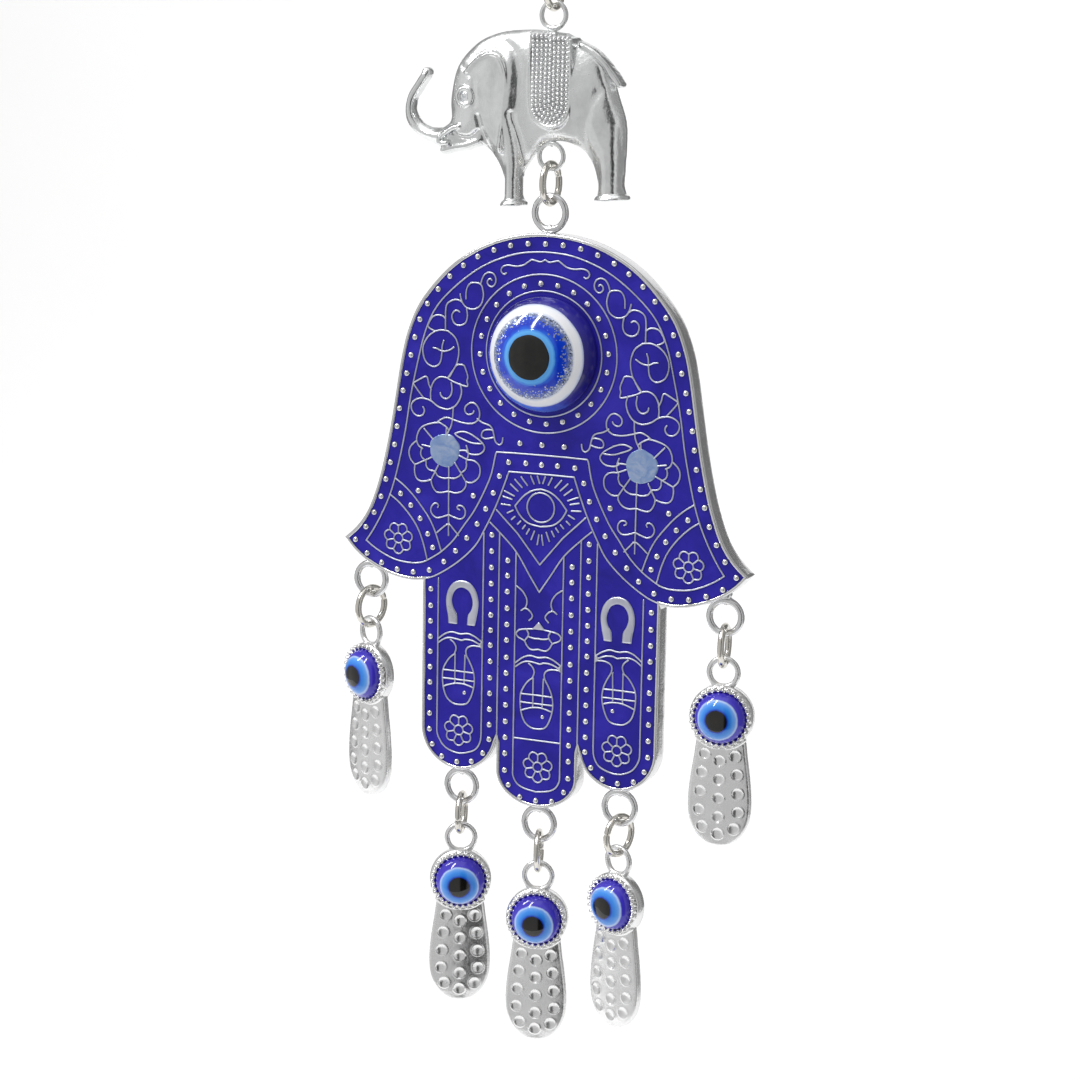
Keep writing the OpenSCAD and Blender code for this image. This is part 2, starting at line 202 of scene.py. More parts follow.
# ---------------------------------------------------------------- materials
class Mat:
    def __init__(self, name, **sockets):
        self.m = bpy.data.materials.new(name)
        self.m.use_nodes = True
        self.t = self.m.node_tree
        self.b = self.t.nodes["Principled BSDF"]
        for k, v in sockets.items():
            self.b.inputs[k.replace("_", " ")].default_value = v

    def node(self, kind, **props):
        n = self.t.nodes.new("ShaderNode" + kind)
        for k, v in props.items():
            setattr(n, k, v)
        return n

    def put(self, target, value):
        if isinstance(value, bpy.types.NodeSocket):
            self.t.links.new(value, target)
        else:
            target.default_value = value

    def math(self, op, a, b=None, c=None, clamp=False):
        n = self.node("Math", operation=op, use_clamp=clamp)
        for s, v in zip(n.inputs, (a, b, c)):
            if v is not None:
                self.put(s, v)
        return n.outputs[0]

    def mix(self, fac, a, b, kind="MIX"):
        n = self.node("Mix", data_type="RGBA", blend_type=kind)
        self.put(n.inputs[0], fac)
        self.put(n.inputs[6], a)
        self.put(n.inputs[7], b)
        return n.outputs[2]

    def noise(self, scale, detail=3.0, rough=0.55, vector=None, distortion=0.0):
        n = self.node("TexNoise")
        n.inputs["Scale"].default_value = scale
        n.inputs["Detail"].default_value = detail
        n.inputs["Roughness"].default_value = rough
        n.inputs["Distortion"].default_value = distortion
        self.put(n.inputs["Vector"], vector if vector is not None else self.coord())
        return n.outputs["Fac"]

    def coord(self):
        if not hasattr(self, "_coord"):
            self._coord = self.node("TexCoord").outputs["Object"]
        return self._coord

    def ramp(self, fac, stops, interp="LINEAR"):
        n = self.node("ValToRGB")
        n.color_ramp.interpolation = interp
        el = n.color_ramp.elements
        while len(el) < len(stops):
            el.new(0.5)
        for e, (p, c) in zip(el, stops):
            e.position = p
            e.color = c if len(c) == 4 else (*c, 1)
        self.put(n.inputs[0], fac)
        return n.outputs[0]

    def rescale(self, v, a, b, c, d):
        n = self.node("MapRange")
        self.put(n.inputs[0], v)
        for i, x in enumerate((a, b, c, d)):
            n.inputs[i + 1].default_value = x
        return n.outputs[0]

    def bump(self, height, strength, distance=0.0001, normal=None):
        n = self.node("Bump")
        n.inputs["Strength"].default_value = strength
        n.inputs["Distance"].default_value = distance
        self.put(n.inputs["Height"], height)
        if normal is not None:
            self.put(n.inputs["Normal"], normal)
        return n.outputs["Normal"]

    def set(self, name, value):
        self.put(self.b.inputs[name], value)
        return self


def lin(r, g, b):
    f = lambda c: (c / 255) / 12.92 if c <= 10.3 else (((c / 255) + 0.055) / 1.055) ** 2.4
    return (f(r), f(g), f(b), 1)


def metal(name, base, rough, tarnish=0.35, grain=0.25, seed=0.0):
    """Plated zinc casting: faint cast grain, soft cloudy roughness, a little darker where the plating is thin."""
    m = Mat(name, Metallic=1.0)
    cloud = m.noise(140 + seed, 4, 0.6)
    fine = m.noise(2600, 2, 0.5)
    m.set("Base Color", m.ramp(cloud, [(0.25, tuple(c * (1 - tarnish * 0.5) for c in base)), (0.55, base), (0.9, tuple(min(1, c * 1.05) for c in base))]))
    m.set("Roughness", m.math("ADD", m.rescale(cloud, 0.3, 0.7, rough * 0.75, rough * 1.35), m.rescale(fine, 0.3, 0.7, -0.02, 0.03)))
    m.set("Normal", m.bump(fine, grain, 0.00006, m.bump(cloud, grain * 0.9, 0.0006)))
    return m.m


SILVER = metal("silver_casting", (0.76, 0.76, 0.77), 0.17)
SATIN = metal("silver_satin", (0.83, 0.83, 0.83), 0.25, tarnish=0.12, grain=0.3, seed=15)
ELEPHANT_METAL = metal("elephant_silver", (0.83, 0.84, 0.84), 0.225, grain=0.4, seed=30)
NICKEL = metal("nickel_wire", (0.70, 0.68, 0.63), 0.15, grain=0.12, seed=60)
# darker patina, also used as painted shade in the gaps between the blanket's beads
GAP_PATINA_AND_SHADE = metal("recess_patina_and_painted_shade", (0.46, 0.46, 0.47), 0.4, grain=0.3, seed=45)
RIDGE = metal("ridge_silver", (0.64, 0.66, 0.76), 0.34, grain=0.4, seed=90)


# ---------------------------------------------------------------- plane drawing tools
def inset(p, d):
    """Closed clockwise outline moved inwards by d along its corner bisectors."""
    a = p - np.roll(p, 1, 0)
    b = np.roll(p, -1, 0) - p
    a /= np.linalg.norm(a, axis=1)[:, None]
    b /= np.linalg.norm(b, axis=1)[:, None]
    na, nb = np.stack([a[:, 1], -a[:, 0]], 1), np.stack([b[:, 1], -b[:, 0]], 1)
    m = na + nb
    m /= np.maximum(np.linalg.norm(m, axis=1), 1e-9)[:, None]
    s = d / np.maximum(0.5, (m * na).sum(1))
    return p + m * s[:, None]


def signed(poly, pts):
    """Distance from the outline, positive inside."""
    poly = np.asarray(poly, float)
    best = np.full(len(pts), 1e9)
    inside = np.zeros(len(pts), bool)
    for a, b in zip(poly, np.roll(poly, -1, 0)):
        ab = b - a
        l2 = ab @ ab
        if l2 < 1e-12:
            continue
        t = np.clip(((pts - a) @ ab) / l2, 0, 1)
        d = pts - (a + t[:, None] * ab)
        best = np.minimum(best, (d * d).sum(1))
        cross = (a[1] > pts[:, 1]) != (b[1] > pts[:, 1])
        if a[1] != b[1]:
            inside ^= cross & (pts[:, 0] < (b[0] - a[0]) * (pts[:, 1] - a[1]) / (b[1] - a[1]) + a[0])
    best = np.sqrt(best)
    return np.where(inside, best, -best)


def near(line, pts):
    """Distance to an open line."""
    best = np.full(len(pts), 1e9)
    line = np.asarray(line, float)
    for a, b in zip(line[:-1], line[1:]):
        ab = b - a
        t = np.clip(((pts - a) @ ab) / max(ab @ ab, 1e-12), 0, 1)
        d = pts - (a + t[:, None] * ab)
        best = np.minimum(best, (d * d).sum(1))
    return np.sqrt(best)


def soft(x):
    x = np.clip(x, 0, 1)
    return x * x * (3 - 2 * x)


def waves(p, size, seed):
    """Smooth random height field made of plane waves, about -1 to 1."""
    g = np.random.default_rng(seed)
    out = np.zeros(len(p))
    for _ in range(14):
        a = g.uniform(0, 2 * math.pi)
        k = 2 * math.pi / (size * g.uniform(0.7, 1.8))
        out += np.sin(p @ np.array([math.cos(a), math.sin(a)]) * k + g.uniform(0, 6.28))
    return out / 4.5


# ---------------------------------------------------------------- the plate
BELL_UP = [(0, 22.7), (5, 22.3), (10, 21.1), (15, 18.9), (19.5, 15.9), (23.5, 11.9), (26.7, 7.6), (28.9, 2.4), (30.2, -3), (31.2, -9),
           (32.2, -15), (33.4, -21), (34.9, -27), (37, -32.6), (39.4, -36.2), (42.3, -38.9)]
BELL_LOW = [(42.3, -38.9), (40, -41.4), (36.8, -43.6), (32.7, -45.3), (28.7, -46.1), (25.3, -46), (22, -44.9), (17.6, -42), (13.8, -38.4),
            (11.7, -34.8), (10, -31.2), (8.7, -28.2), (7.6, -25.2), (6.9, -23)]


def half_outline():
    up = resample(cr([(-5, 22.3)] + BELL_UP, 8)[8:], 0.7)
    low = cr(BELL_LOW, 8)
    k = int(np.argmax(low[:, 0] < 25.0))
    t = (low[k - 1, 0] - 25.0) / (low[k - 1, 0] - low[k, 0])
    low = resample(np.vstack([low[:k], low[k - 1] + t * (low[k] - low[k - 1])]), 0.7)
    side = resample([low[-1], (25.0, -75.0)], 0.9)
    a_end = math.acos((8.65 - 16.8) / 8.2)
    tip = np.array([(16.8 + 8.2 * math.cos(a), -75 - 8.2 * math.sin(a)) for a in np.linspace(0, a_end, 34)])
    mid = resample([tip[-1], (8.65, -82.1)], 0.8)
    end = np.array([(8.65 * math.cos(a), -82.1 - 6.6 * math.sin(a)) for a in np.linspace(0, math.pi / 2, 20)])
    return np.vstack([up, low[1:], side[1:], tip[1:], mid[1:], end[1:]])


_h = half_outline()
OUT = np.vstack([_h, [(-x, v) for x, v in _h[::-1][1:-1]]])

b = Build()
rows = []
for d, y in [(1.0, -1.5), (0.82, -1.62), (0.72, -1.9), (0.6, -2.03), (0.44, -2.09), (0.28, -2.08), (0.13, -2.0), (0.03, -1.85), (0, -1.6), (0, -0.6),
             (0, 0.6), (0, 1.6), (0.06, 1.82), (0.2, 1.96), (0.4, 2.0), (0.85, 2.0), (1.02, 1.92), (1.12, 1.7), (1.2, 1.58)]:
    q = inset(OUT, d)
    rows.append(np.stack([q[:, 0], np.full(len(q), y), q[:, 1] + EYE_Z], 1))
b.grid(np.array(rows), wrap_v=True)
# the back's recessed floor, a grid so that it can carry the cast surface's unevenness
step = 0.9
gu, gv = np.arange(-42.6, 42.7, step), np.arange(-89, 23, step)
P = np.stack(np.meshgrid(gu, gv, indexing="ij"), -1).reshape(-1, 2)
sd = signed(OUT, P)
keep = sd > 0.1
yy = 1.58 + 0.05 * waves(P, 11, 5)


def masked_grid(keep, nu, nv, points, build, mat=0):
    idx = np.full(len(keep), -1)
    idx[keep] = np.arange(keep.sum())
    g = idx.reshape(nu, nv)
    q = np.stack([g[:-1, :-1], g[1:, :-1], g[1:, 1:], g[:-1, 1:]], -1).reshape(-1, 4)
    q = q[(q >= 0).all(1)]
    build.add(points[keep], q.tolist(), mat)


masked_grid(keep, len(gu), len(gv), np.stack([P[:, 0], yy, P[:, 1] + EYE_Z], 1), b)


def cast_loop(build, x, v, up, R, wire, mat=0, y=0.0):
    """A loop cast in one with its part, with a root that widens into it."""
    th = np.linspace(0, 2 * math.pi, 57)[:-1]
    path = np.stack([x + R * np.cos(th), np.full(len(th), y), v + R * np.sin(th)], 1)
    fat = wire / 2 * (1 + 0.16 * np.exp(-((np.angle(np.exp(1j * (th - up * math.pi / 2)))) / 0.55) ** 2))
    build.tube(path, fat, 16, closed=True)
    zs = [v + up * (R - 0.25), v + up * (R + 0.25), v + up * (R + 0.7), v + up * (R + 1.3)]
    build.tube([(x, y, z) for z in zs], [wire * 0.55, wire * 0.68, wire * 0.85, wire * 0.95], 16, squash=(1.05, 0.72), up=(0, 1, 0))


cast_loop(b, 0, PLATE_LOOP_Z, -1, LOOP_R, 1.3)
for x, v in zip(PEND_X, PEND_V):
    cast_loop(b, x, EYE_Z + v, 1, LOOP_R, 1.3)
b.object("hamsa_plate_cast", "hamsa", [SILVER], ["hamsa_plate"], slot="cast_metal")

# ---- raised lines, drawn in the plane of the plate: x and height over the eye's centre (mm)
LINES = []      # both sides, as drawn and mirrored
ONCE = []       # as drawn
CLOSED = []     # closed loops, as drawn
DOTS = []       # both sides
DOTS_ONCE = []


def arc(cx, cy, r, a0, a1, n=24, ry=None):
    return [(cx + r * math.cos(math.radians(a)), cy + (ry or r) * math.sin(math.radians(a))) for a in np.linspace(a0, a1, n)]


# border dots and lines
DOTS += [(3.6, 20.6), (7.2, 20.1), (10.65, 19.1), (14, 17.7), (17, 15.9), (19.85, 13.7), (22.3, 11.1), (24.55, 8.2), (26.15, 5.1), (27.2, 1.6),
         (28, -1.9), (28.9, -5.5), (29.65, -8.9), (30.4, -12.45), (30.9, -16), (31.4, -19.6), (32.3, -23.2), (33.25, -26.6), (34.3, -30.1),
         (35.8, -33.4), (37.6, -36.45), (39.9, -39.2), (37.3, -41.7), (34.05, -43.3), (30.6, -44.3), (27.1, -44.5), (23.6, -43.8),
         (20.45, -41.8), (17.95, -39.45), (15.55, -36.7), (13.4, -33.75), (11.6, -30.65), (10.05, -27.4), (8.8, -24), (6.9, -21.2), (3.3, -21.1),
         (4.6, -17.35)]
DOTS_ONCE += [(0, 20.7), (0, -21.2), (0, -17.35)]
DOTS_ONCE += [(13.26 * math.cos(a), 13.26 * math.sin(a)) for a in np.arange(24) * math.pi / 12 + 0.06]
LINES += [[(0, 19.2), (4.25, 18.9), (8.3, 17.9), (13, 15.9), (18, 12.4), (22.4, 8), (24.9, 3), (26.6, -3.5), (28, -10), (29, -16.3), (30.3, -22.5),
           (31.3, -26.4), (32.5, -30), (34.2, -33.7), (36, -36.9), (37.5, -39.1)],
          [(37.5, -39.1), (35.6, -40.4), (33.1, -41.65), (30.6, -42.45), (27.5, -42.7), (25, -42.3), (22.5, -40.9), (20.6, -39.5), (18.4, -37.3),
           (16.25, -34.3), (14.05, -31.2), (11.9, -27.1), (10.5, -23.7), (9.7, -20), (9.45, -19.4)],
          [(9.45, -19.4), (5, -19.32), (0, -19.3)],
          [(25, -45.7), (22, -44.6), (17.6, -41.7), (13.8, -38.1), (11.7, -34.5), (10, -31.1), (8.7, -28.1), (7.6, -25.2), (6.8, -23)],
          [(6.8, -23), (3, -22.96), (0, -22.95)]]
CLOSED += [arc(0, 0, 15, 0, 360, 97)[:-1], arc(0, 0, 11.9, 0, 360, 97)[:-1]]
# chest panel with a small eye and rays
LINES += [[(9.3, -30.6), (4.7, -34.9), (0, -40.5)], [(10.6, -33.2), (8.5, -35), (5, -38.4), (2.2, -42.6), (0, -45.85)],
          [(5.4, -29.5), (3.75, -27.55), (1.9, -26.3), (0, -25.85)], [(5.4, -29.5), (4.3, -31.3), (2.5, -32.65), (0, -33.1)]]
CLOSED += [arc(0, -29.4, 2.85, 0, 360, 33)[:-1]]
RAYS = [((8.3, -29.4), (6.4, -29.5)), ((7.9, -27.9), (6.1, -28.3)), ((7.65, -26.8), (5.6, -27.6)), ((6.4, -25.4), (4.85, -26.6)),
        ((5.5, -24.4), (4, -25.8)), ((4.2, -23.8), (2.9, -25.3)), ((2.2, -23.5), (1.5, -24.9)), ((0.8, -23.4), (0.35, -24.7)),
        ((7, -31), (5.8, -30.4)), ((6.1, -32.2), (5.4, -31.6)), ((4.8, -33), (4.2, -32.4)), ((3.75, -33.8), (3.2, -33.1)),
        ((2.9, -34.75), (2.35, -33.8)), ((1.9, -35.75), (1.25, -34.1)), ((0.6, -36.6), (0.3, -34.75))]
LINES += [list(r) for r in RAYS]
# wing band
LINES += [[(31.25, -26.2), (29.4, -27.4), (27.2, -29.3), (25, -31.8), (23.4, -34), (22.2, -36.5), (21.1, -39.6)],
          [(32.35, -29.5), (30.3, -30.9), (28.1, -33.05), (26.25, -35.55), (25, -38.4), (24.1, -41.65)]]
DOTS += [(30, -29.2), (27.75, -31.3), (25.7, -33.75), (24, -36.65), (22.9, -39.25), (26.15, -28.3), (14.3, -28.3)]
# moustache-like scroll at the top
LINES += [[(0, 17.75), (0.8, 17.3), (1.3, 17.35), (2.7, 17.65), (3.3, 17.3), (4.55, 16.5), (6.1, 16.25), (7.7, 16.4), (8.8, 16), (9.1, 15.25),
           (8.5, 14.6), (8, 14.85)],
          # scrolls down the side
          [(13.3, 12.5), (13, 13.55), (12.4, 14.5), (11.45, 14.85), (10.5, 14.5), (10.1, 13.55), (10.35, 12.6), (11.1, 12.1), (11.85, 12.6),
           (11.9, 13.2), (11.4, 13.7), (11, 13.4)],
          [(16.35, 9.6), (16.3, 11.2), (15.65, 12.45), (14.7, 12.75), (13.3, 12.5), (12.85, 11.5), (12.7, 10.25), (13.15, 8.7), (14.1, 7.9),
           (15.2, 7.65), (16.45, 8.05), (17.2, 9), (17.6, 10.3)],
          [(16.2, 7.75), (16, 6.2), (16.45, 4.95), (17.7, 4.4), (18.8, 4.8), (19.3, 5.9), (19.1, 6.8), (18.3, 7.3), (17.7, 7)],
          [(20.65, 3.4), (20.65, 5.5), (20.65, 7.1), (20.35, 8.4), (19.25, 9.15), (18, 9.3), (17.2, 8.85)],
          [(20.65, 5.55), (21.45, 6.1), (22.7, 6.1), (23.6, 5.55), (24.4, 4), (23.8, 3.4), (23, 3.1)],
          # large round scroll with a curled leaf in it
          [(20.1, 3.2), (18.6, 2.1), (17.9, 0.55), (17.75, -1), (18.15, -2.9), (18.95, -4.3), (20.1, -5.85)],
          [(20.1, 3.2), (21.75, 3.3), (23.3, 2.75), (24.55, 1.65), (25.35, 0.1), (25.35, -1.6), (24.7, -3.05), (23.45, -3.8), (22.4, -3.65),
           (21.6, -2.7), (21.35, -1), (21.3, 0.25), (21.0, 1.3)],
          [(18.8, 0.15), (20, -0.55), (21.3, -0.75), (22.4, -0.3), (23.2, -0.2)],
          # vase with a tulip
          [(17.4, -6.8), (17.05, -8.2), (17.5, -9.9), (18.6, -11.3), (20.2, -11.9), (22.05, -11.5), (23.6, -10.5), (25.5, -10.1), (27.05, -10.55),
           (27.85, -11.6), (27.5, -12.9), (26.45, -13.65), (25.35, -13.35), (24.95, -12.4), (25.3, -11.8)],
          [(20.1, -5.85), (21.45, -5.7), (22.7, -6.3), (23.45, -7.55), (23.7, -9.1), (23.6, -10.4)],
          [(19.25, -6.8), (19.1, -8.2), (19.55, -9.4), (20.5, -9.9), (21.4, -9.4), (21.6, -8.8)],
          [(20.1, -5.85), (19.25, -6.3), (17.5, -6.9), (15.8, -7.2), (15.95, -6.15), (15.75, -5.5), (15.95, -4.6), (16.3, -3.8), (16.6, -3.2),
           (17.7, -3.1), (18.3, -3.35), (18.8, -4.1), (19.55, -5.4), (20.1, -5.85)],
          [(27.4, -7.25), (26.1, -6.5), (24.55, -5.85), (24.1, -7.25), (23.55, -8.35)], [(27.4, -7.45), (26.3, -8.8), (25.2, -10)],
          [(18.8, -11.6), (18.9, -13.5), (19.25, -15.2), (20.2, -16.8)],
          # branch over the flower
          [(22.25, -14.6), (21.3, -13.9), (20.05, -13.5), (18.5, -13.9), (16.6, -14.3), (14.75, -14.3), (13.65, -13.65), (13.2, -12.9), (13.25, -11.6),
           (14, -10.5), (15.05, -10.3), (16.15, -11), (16.3, -11.95), (15.7, -12.6), (14.75, -12.4), (14.4, -11.9)],
          [(13.65, -13.3), (12.55, -13.95), (11, -14.4), (10.4, -15.05), (10.05, -16.3), (9.75, -17.4), (8.95, -18), (8.35, -17.55), (8.2, -16.6)],
          [(10.4, -15.3), (11, -15.2), (12.25, -15.45), (12.7, -16.15), (12.55, -16.8), (11.6, -17), (10.05, -16.6)]]
# large flower, drawn on the left and mirrored
FLOWER = [[(-21.7, -14.6), (-23.1, -14.8), (-24.7, -15.3), (-25.8, -16), (-26.4, -17.1), (-26.6, -18.4), (-26.1, -19.5), (-25.3, -19.9)],
          [(-21.7, -14.6), (-20.3, -15.3), (-19.7, -16), (-20.3, -17.1)],
          [(-26.6, -18.5), (-27.5, -19.2), (-28.1, -20.1), (-28.2, -21.2), (-27.8, -22.3), (-26.9, -23.2)],
          [(-26.9, -23.2), (-27, -24.3), (-26.7, -25.6), (-25.9, -26.3), (-24.7, -26.3), (-23.4, -25.9)],
          [(-23.4, -25.9), (-23.1, -27.1), (-22.2, -28.2), (-20.9, -28.2), (-19.6, -27.9), (-18.1, -28.1), (-16.7, -27.6), (-15.9, -26.5), (-15.9, -25.7)],
          [(-15.9, -25.7), (-14.7, -25.8), (-13.4, -24.9), (-12.9, -23.7), (-13.1, -22.3), (-14.2, -21.5), (-15.6, -21.4)],
          [(-25.5, -19.9), (-25.7, -20.9), (-25.3, -21.8), (-24.5, -22.3), (-24.5, -23.2), (-23.8, -24), (-22.6, -24.2), (-21.9, -25.1), (-20.6, -25.4),
           (-19.6, -25.25), (-18.4, -25.25), (-17.2, -24.6), (-16.9, -24), (-16.1, -23.4), (-15.8, -22.4), (-15.9, -21.7), (-15.5, -20.7),
           (-15.5, -19.8), (-15.9, -18.7)],
          [(-18.4, -16.5), (-16.9, -16), (-15.3, -16.25), (-13.75, -17), (-12.5, -17.9), (-13.75, -18.1), (-15, -18), (-16.25, -17.6), (-17.8, -17), (-18.4, -16.5)],
          [(-12.5, -17.9), (-12, -18.7), (-12.4, -19.6), (-13.4, -20.2), (-15, -20.25), (-15.9, -19.8)],
          [(-25, -16), (-22.9, -18.1)], [(-26.9, -23.2), (-23.3, -21.5)], [(-23.4, -25.9), (-21.9, -23)], [(-15.9, -25.7), (-18.3, -22.2)],
          [(-15.6, -21.4), (-17.4, -20.7)], [(-25.4, -19.2), (-23.6, -19.5)], [(-20.2, -15.6), (-20.3, -17)], [(-15.7, -19.6), (-17.3, -19.7)],
          [(-19.6, -23), (-19.55, -30), (-19.5, -36.5)],
          [(-19.5, -32.45), (-20.6, -32.9), (-22, -33.3), (-23, -32.75), (-23.4, -31.8), (-23.1, -30.9), (-22.35, -30.4), (-21.7, -30.7), (-21.9, -31.2)],
          [(-19.4, -32.5), (-18.3, -32.9), (-17, -33.1), (-16.1, -32.45), (-15.95, -31.35), (-16.55, -30.55), (-17.5, -30.5), (-17.75, -31), (-17.2, -31.3)],
          [(-22, -36.2), (-20.95, -35.25), (-19.5, -34.3), (-18.4, -35.25), (-17.35, -36.35)]]
LINES += FLOWER


def mini_flower(cx, cy):
    CLOSED.append(arc(cx, cy, 0.98, 0, 360, 17)[:-1])
    ring = []
    for k in range(70):
        a = math.radians(-90 + k * 360 / 70)
        r = 2.42 + 0.68 * abs(math.cos(3.5 * (a + math.pi / 2)))
        ring.append((cx + r * math.cos(a), cy + r * math.sin(a)))
    CLOSED.append(ring)
    for k in range(7):
        a = math.radians(-90 + (k + 0.5) * 360 / 7)
        ONCE.append([(cx + 1.0 * math.cos(a), cy + 1.0 * math.sin(a)), (cx + 2.45 * math.cos(a), cy + 2.45 * math.sin(a))])


for cx, cy in [(30.4, -38.05), (-30.4, -38.05), (16.8, -75.15), (-16.8, -75.15), (0.3, -80.5)]:
    mini_flower(cx, cy)
# fingers
LINES += [[(5, -38.6), (5, -60), (5, -80), (5, -81.6)], [(5, -81.6), (4.9, -82.9), (4.05, -84.3), (2.5, -85.1), (0, -85.5)], [(8.55, -35), (8.55, -56), (8.55, -76.6)],
          [(11.9, -35.4), (11.9, -56), (11.9, -73), (11.9, -75)], [(11.9, -75), (12.1, -76.9), (13.1, -78.6), (15, -79.5), (16.9, -79.8), (18.75, -79.4), (20.3, -78.4), (21.4, -76.5),
           (21.55, -74.8)], [(21.55, -74.8), (21.55, -72.5), (21.55, -60), (21.55, -45.2)],
          [(0, -75.2), (5, -75.2)]]
DOTS += [(10.2, v) for v in (-35.6, -38.8, -42, -45.2, -48.3, -51.4, -54.4, -57.4, -60.6, -63.9, -67, -70.2, -73.3, -76.25)]
DOTS += [(11.5, -79.2), (13.95, -81.15), (17.1, -81.6), (20.4, -80.9), (22.55, -78.65)]
DOTS += [(23.2, v) for v in (-75.7, -72.5, -69.3, -66.2, -63.1, -60, -57, -53.9, -50.8, -47.5)]
DOTS += [(6.75, v) for v in (-40.3, -43.3, -46.4, -49.7, -52.9, -56, -59.4, -62.55, -65.7, -68.9, -72.2, -75.4, -78.6, -82)]
DOTS += [(5.9, -84.85), (3.4, -87)]
DOTS_ONCE += [(0, -87.3)]


def stamp(dx, dy, sx):
    """The bracket and fish, drawn on the right finger."""
    t = lambda pts: [(sx * x + dx, v + dy) for x, v in pts]
    lines = [[(12, -57), (13.45, -56.1), (15, -55.6), (16.7, -55.85), (18.45, -55.6), (20, -56.1), (21.55, -57.3)],
             [(12.5, -57.5), (14.05, -56.9), (15.6, -56.8), (16.4, -57.1), (17.5, -56.9), (19.05, -56.8), (20.3, -57.2), (21.55, -58.1)],
             [(12.2, -57.95), (13.75, -57.9), (15, -58.3), (15.45, -59.05), (15.3, -60)], [(18.75, -57.2), (17.95, -57.8), (17.55, -58.75), (17.95, -60)],
             [(15.3, -60), (14.4, -61.55), (13.75, -63.1), (13.5, -65), (13.8, -66.9), (14.5, -68.75), (15.3, -69.7), (16.7, -70), (18.1, -69.85),
              (19.4, -68.9), (20.15, -67.2), (20.45, -65), (20.3, -63.1), (19.5, -61.55), (18.75, -60.6), (17.95, -60)],
             [(15.6, -60), (15.75, -65.4)], [(17.75, -60), (17.75, -65.6)], [(13.8, -63.35), (17, -63.3), (20.3, -63.35)],
             [(13.6, -65), (17, -65), (20.4, -65)], [(13.9, -66.25), (15.6, -65.8), (17.5, -65.8), (19.05, -66.2), (20.3, -66.7)]]
    ONCE.extend(t(q) for q in lines)
    SMALL.append((sx * 15.7 + dx, -67.5 + dy))
    SLABS.append(t([(12, -56.9), (12.75, -57.5), (12, -58.3)]))


SMALL, SLABS, BANDS = [], [], []
stamp(0, 0, 1)
stamp(0, 0, -1)
stamp(16.8, -2.9, -1)
shoe_out = [(13.6, -53.9), (13.3, -52.5), (12.9, -50.3), (12.9, -48.75), (13.45, -47), (14.7, -45.6), (16.35, -45.15), (18.1, -45.6), (19.3, -47), (19.85, -48.9),
            (19.8, -50.6), (19.4, -52.5), (19.3, -53.9)]
shoe_in = [(15.25, -53.9), (15.1, -52), (14.45, -51), (14.1, -49.6), (14.35, -48.2), (15, -47.1), (16.35, -46.55), (17.65, -47), (18.4, -48.1), (18.6, -49.4),
           (18.2, -50.8), (17.5, -52), (17.4, -53.9)]
for s in (1, -1):
    BANDS.append(([(s * x, v) for x, v in shoe_out], [(s * x, v) for x, v in shoe_in]))
# middle finger: horns and lotus
LINES += [[(4.8, -45.1), (3.6, -45.9), (2.7, -47.2), (2.55, -48.3), (2.95, -49.3)], [(3.75, -49.8), (2.95, -49.3), (2.05, -49.65), (1.4, -50.4), (1.45, -51), (2.05, -51.6)],
          [(1.25, -53.2), (2.5, -53.35), (4.05, -53.65), (4.75, -54.4), (4.2, -55.15), (2.95, -55.7), (2.45, -56.55), (1.55, -57.3), (0, -57.1)],
          [(2.5, -53.5), (2.05, -54.3), (2.2, -54.75), (0.95, -55.05), (0, -55.0)], [(2.2, -54.75), (2.95, -55.7)]]
SLABS.append([(0, -51.8), (1.25, -53.2), (-1.25, -53.2)])

SKIN = -1.93       # front of the enamel (mm)
b = Build()
samples = []


def ridge(points, closed=False, r=0.155):
    q = cr(points, 5, closed) if len(points) > 3 else np.asarray(points, float)
    q = resample(q, 0.42, closed)
    samples.append(q)
    wob = 0.012 * np.sin(np.arange(len(q)) * 1.7 + q[0, 0])
    path = np.stack([q[:, 0], np.full(len(q), SKIN - 0.02) + wob, q[:, 1] + EYE_Z], 1)
    b.tube(path, r, 8, closed=closed, squash=(1, 0.95))


for p in LINES:
    ridge(p)
    ridge(mirror(p))
for p in ONCE:
    ridge(p)
for p in CLOSED:
    ridge(p, True)
for outer, inner in BANDS:
    o, i = resample(cr(outer, 5), 0.45), None
    i = cr(inner, 5)
    s = np.r_[0, np.cumsum(np.linalg.norm(np.diff(i, axis=0), axis=1))]
    t = np.linspace(0, s[-1], len(o))
    i = np.stack([np.interp(t, s, i[:, 0]), np.interp(t, s, i[:, 1])], 1)
    rows = []
    for w, y in [(0, SKIN + 0.2), (0, SKIN - 0.12), (0.14, SKIN - 0.22), (0.5, SKIN - 0.23), (0.86, SKIN - 0.22), (1, SKIN - 0.12), (1, SKIN + 0.2)]:
        q = o + (i - o) * w
        rows.append(np.stack([q[:, 0], np.full(len(q), y), q[:, 1] + EYE_Z], 1))
    g = np.array(rows)
    b.grid(g)
    for col in (0, -1):
        b.add(g[:, col], [tuple(range(len(g)))])
    samples.append((o + i) / 2)
for tri in SLABS:
    q = resample(tri, 0.3, True)
    c = q.mean(0)
    rows = [np.stack([(c + (q - c) * w)[:, 0], np.full(len(q), y), (c + (q - c) * w)[:, 1] + EYE_Z], 1)
            for w, y in [(1.1, SKIN + 0.2), (1.1, SKIN - 0.1), (0.9, SKIN - 0.2), (0.4, SKIN - 0.21), (0.02, SKIN - 0.21)]]
    b.grid(np.array(rows), wrap_v=True)
    samples.append(q)
b.object("hamsa_lines", "hamsa", [RIDGE], slot="cast_metal")

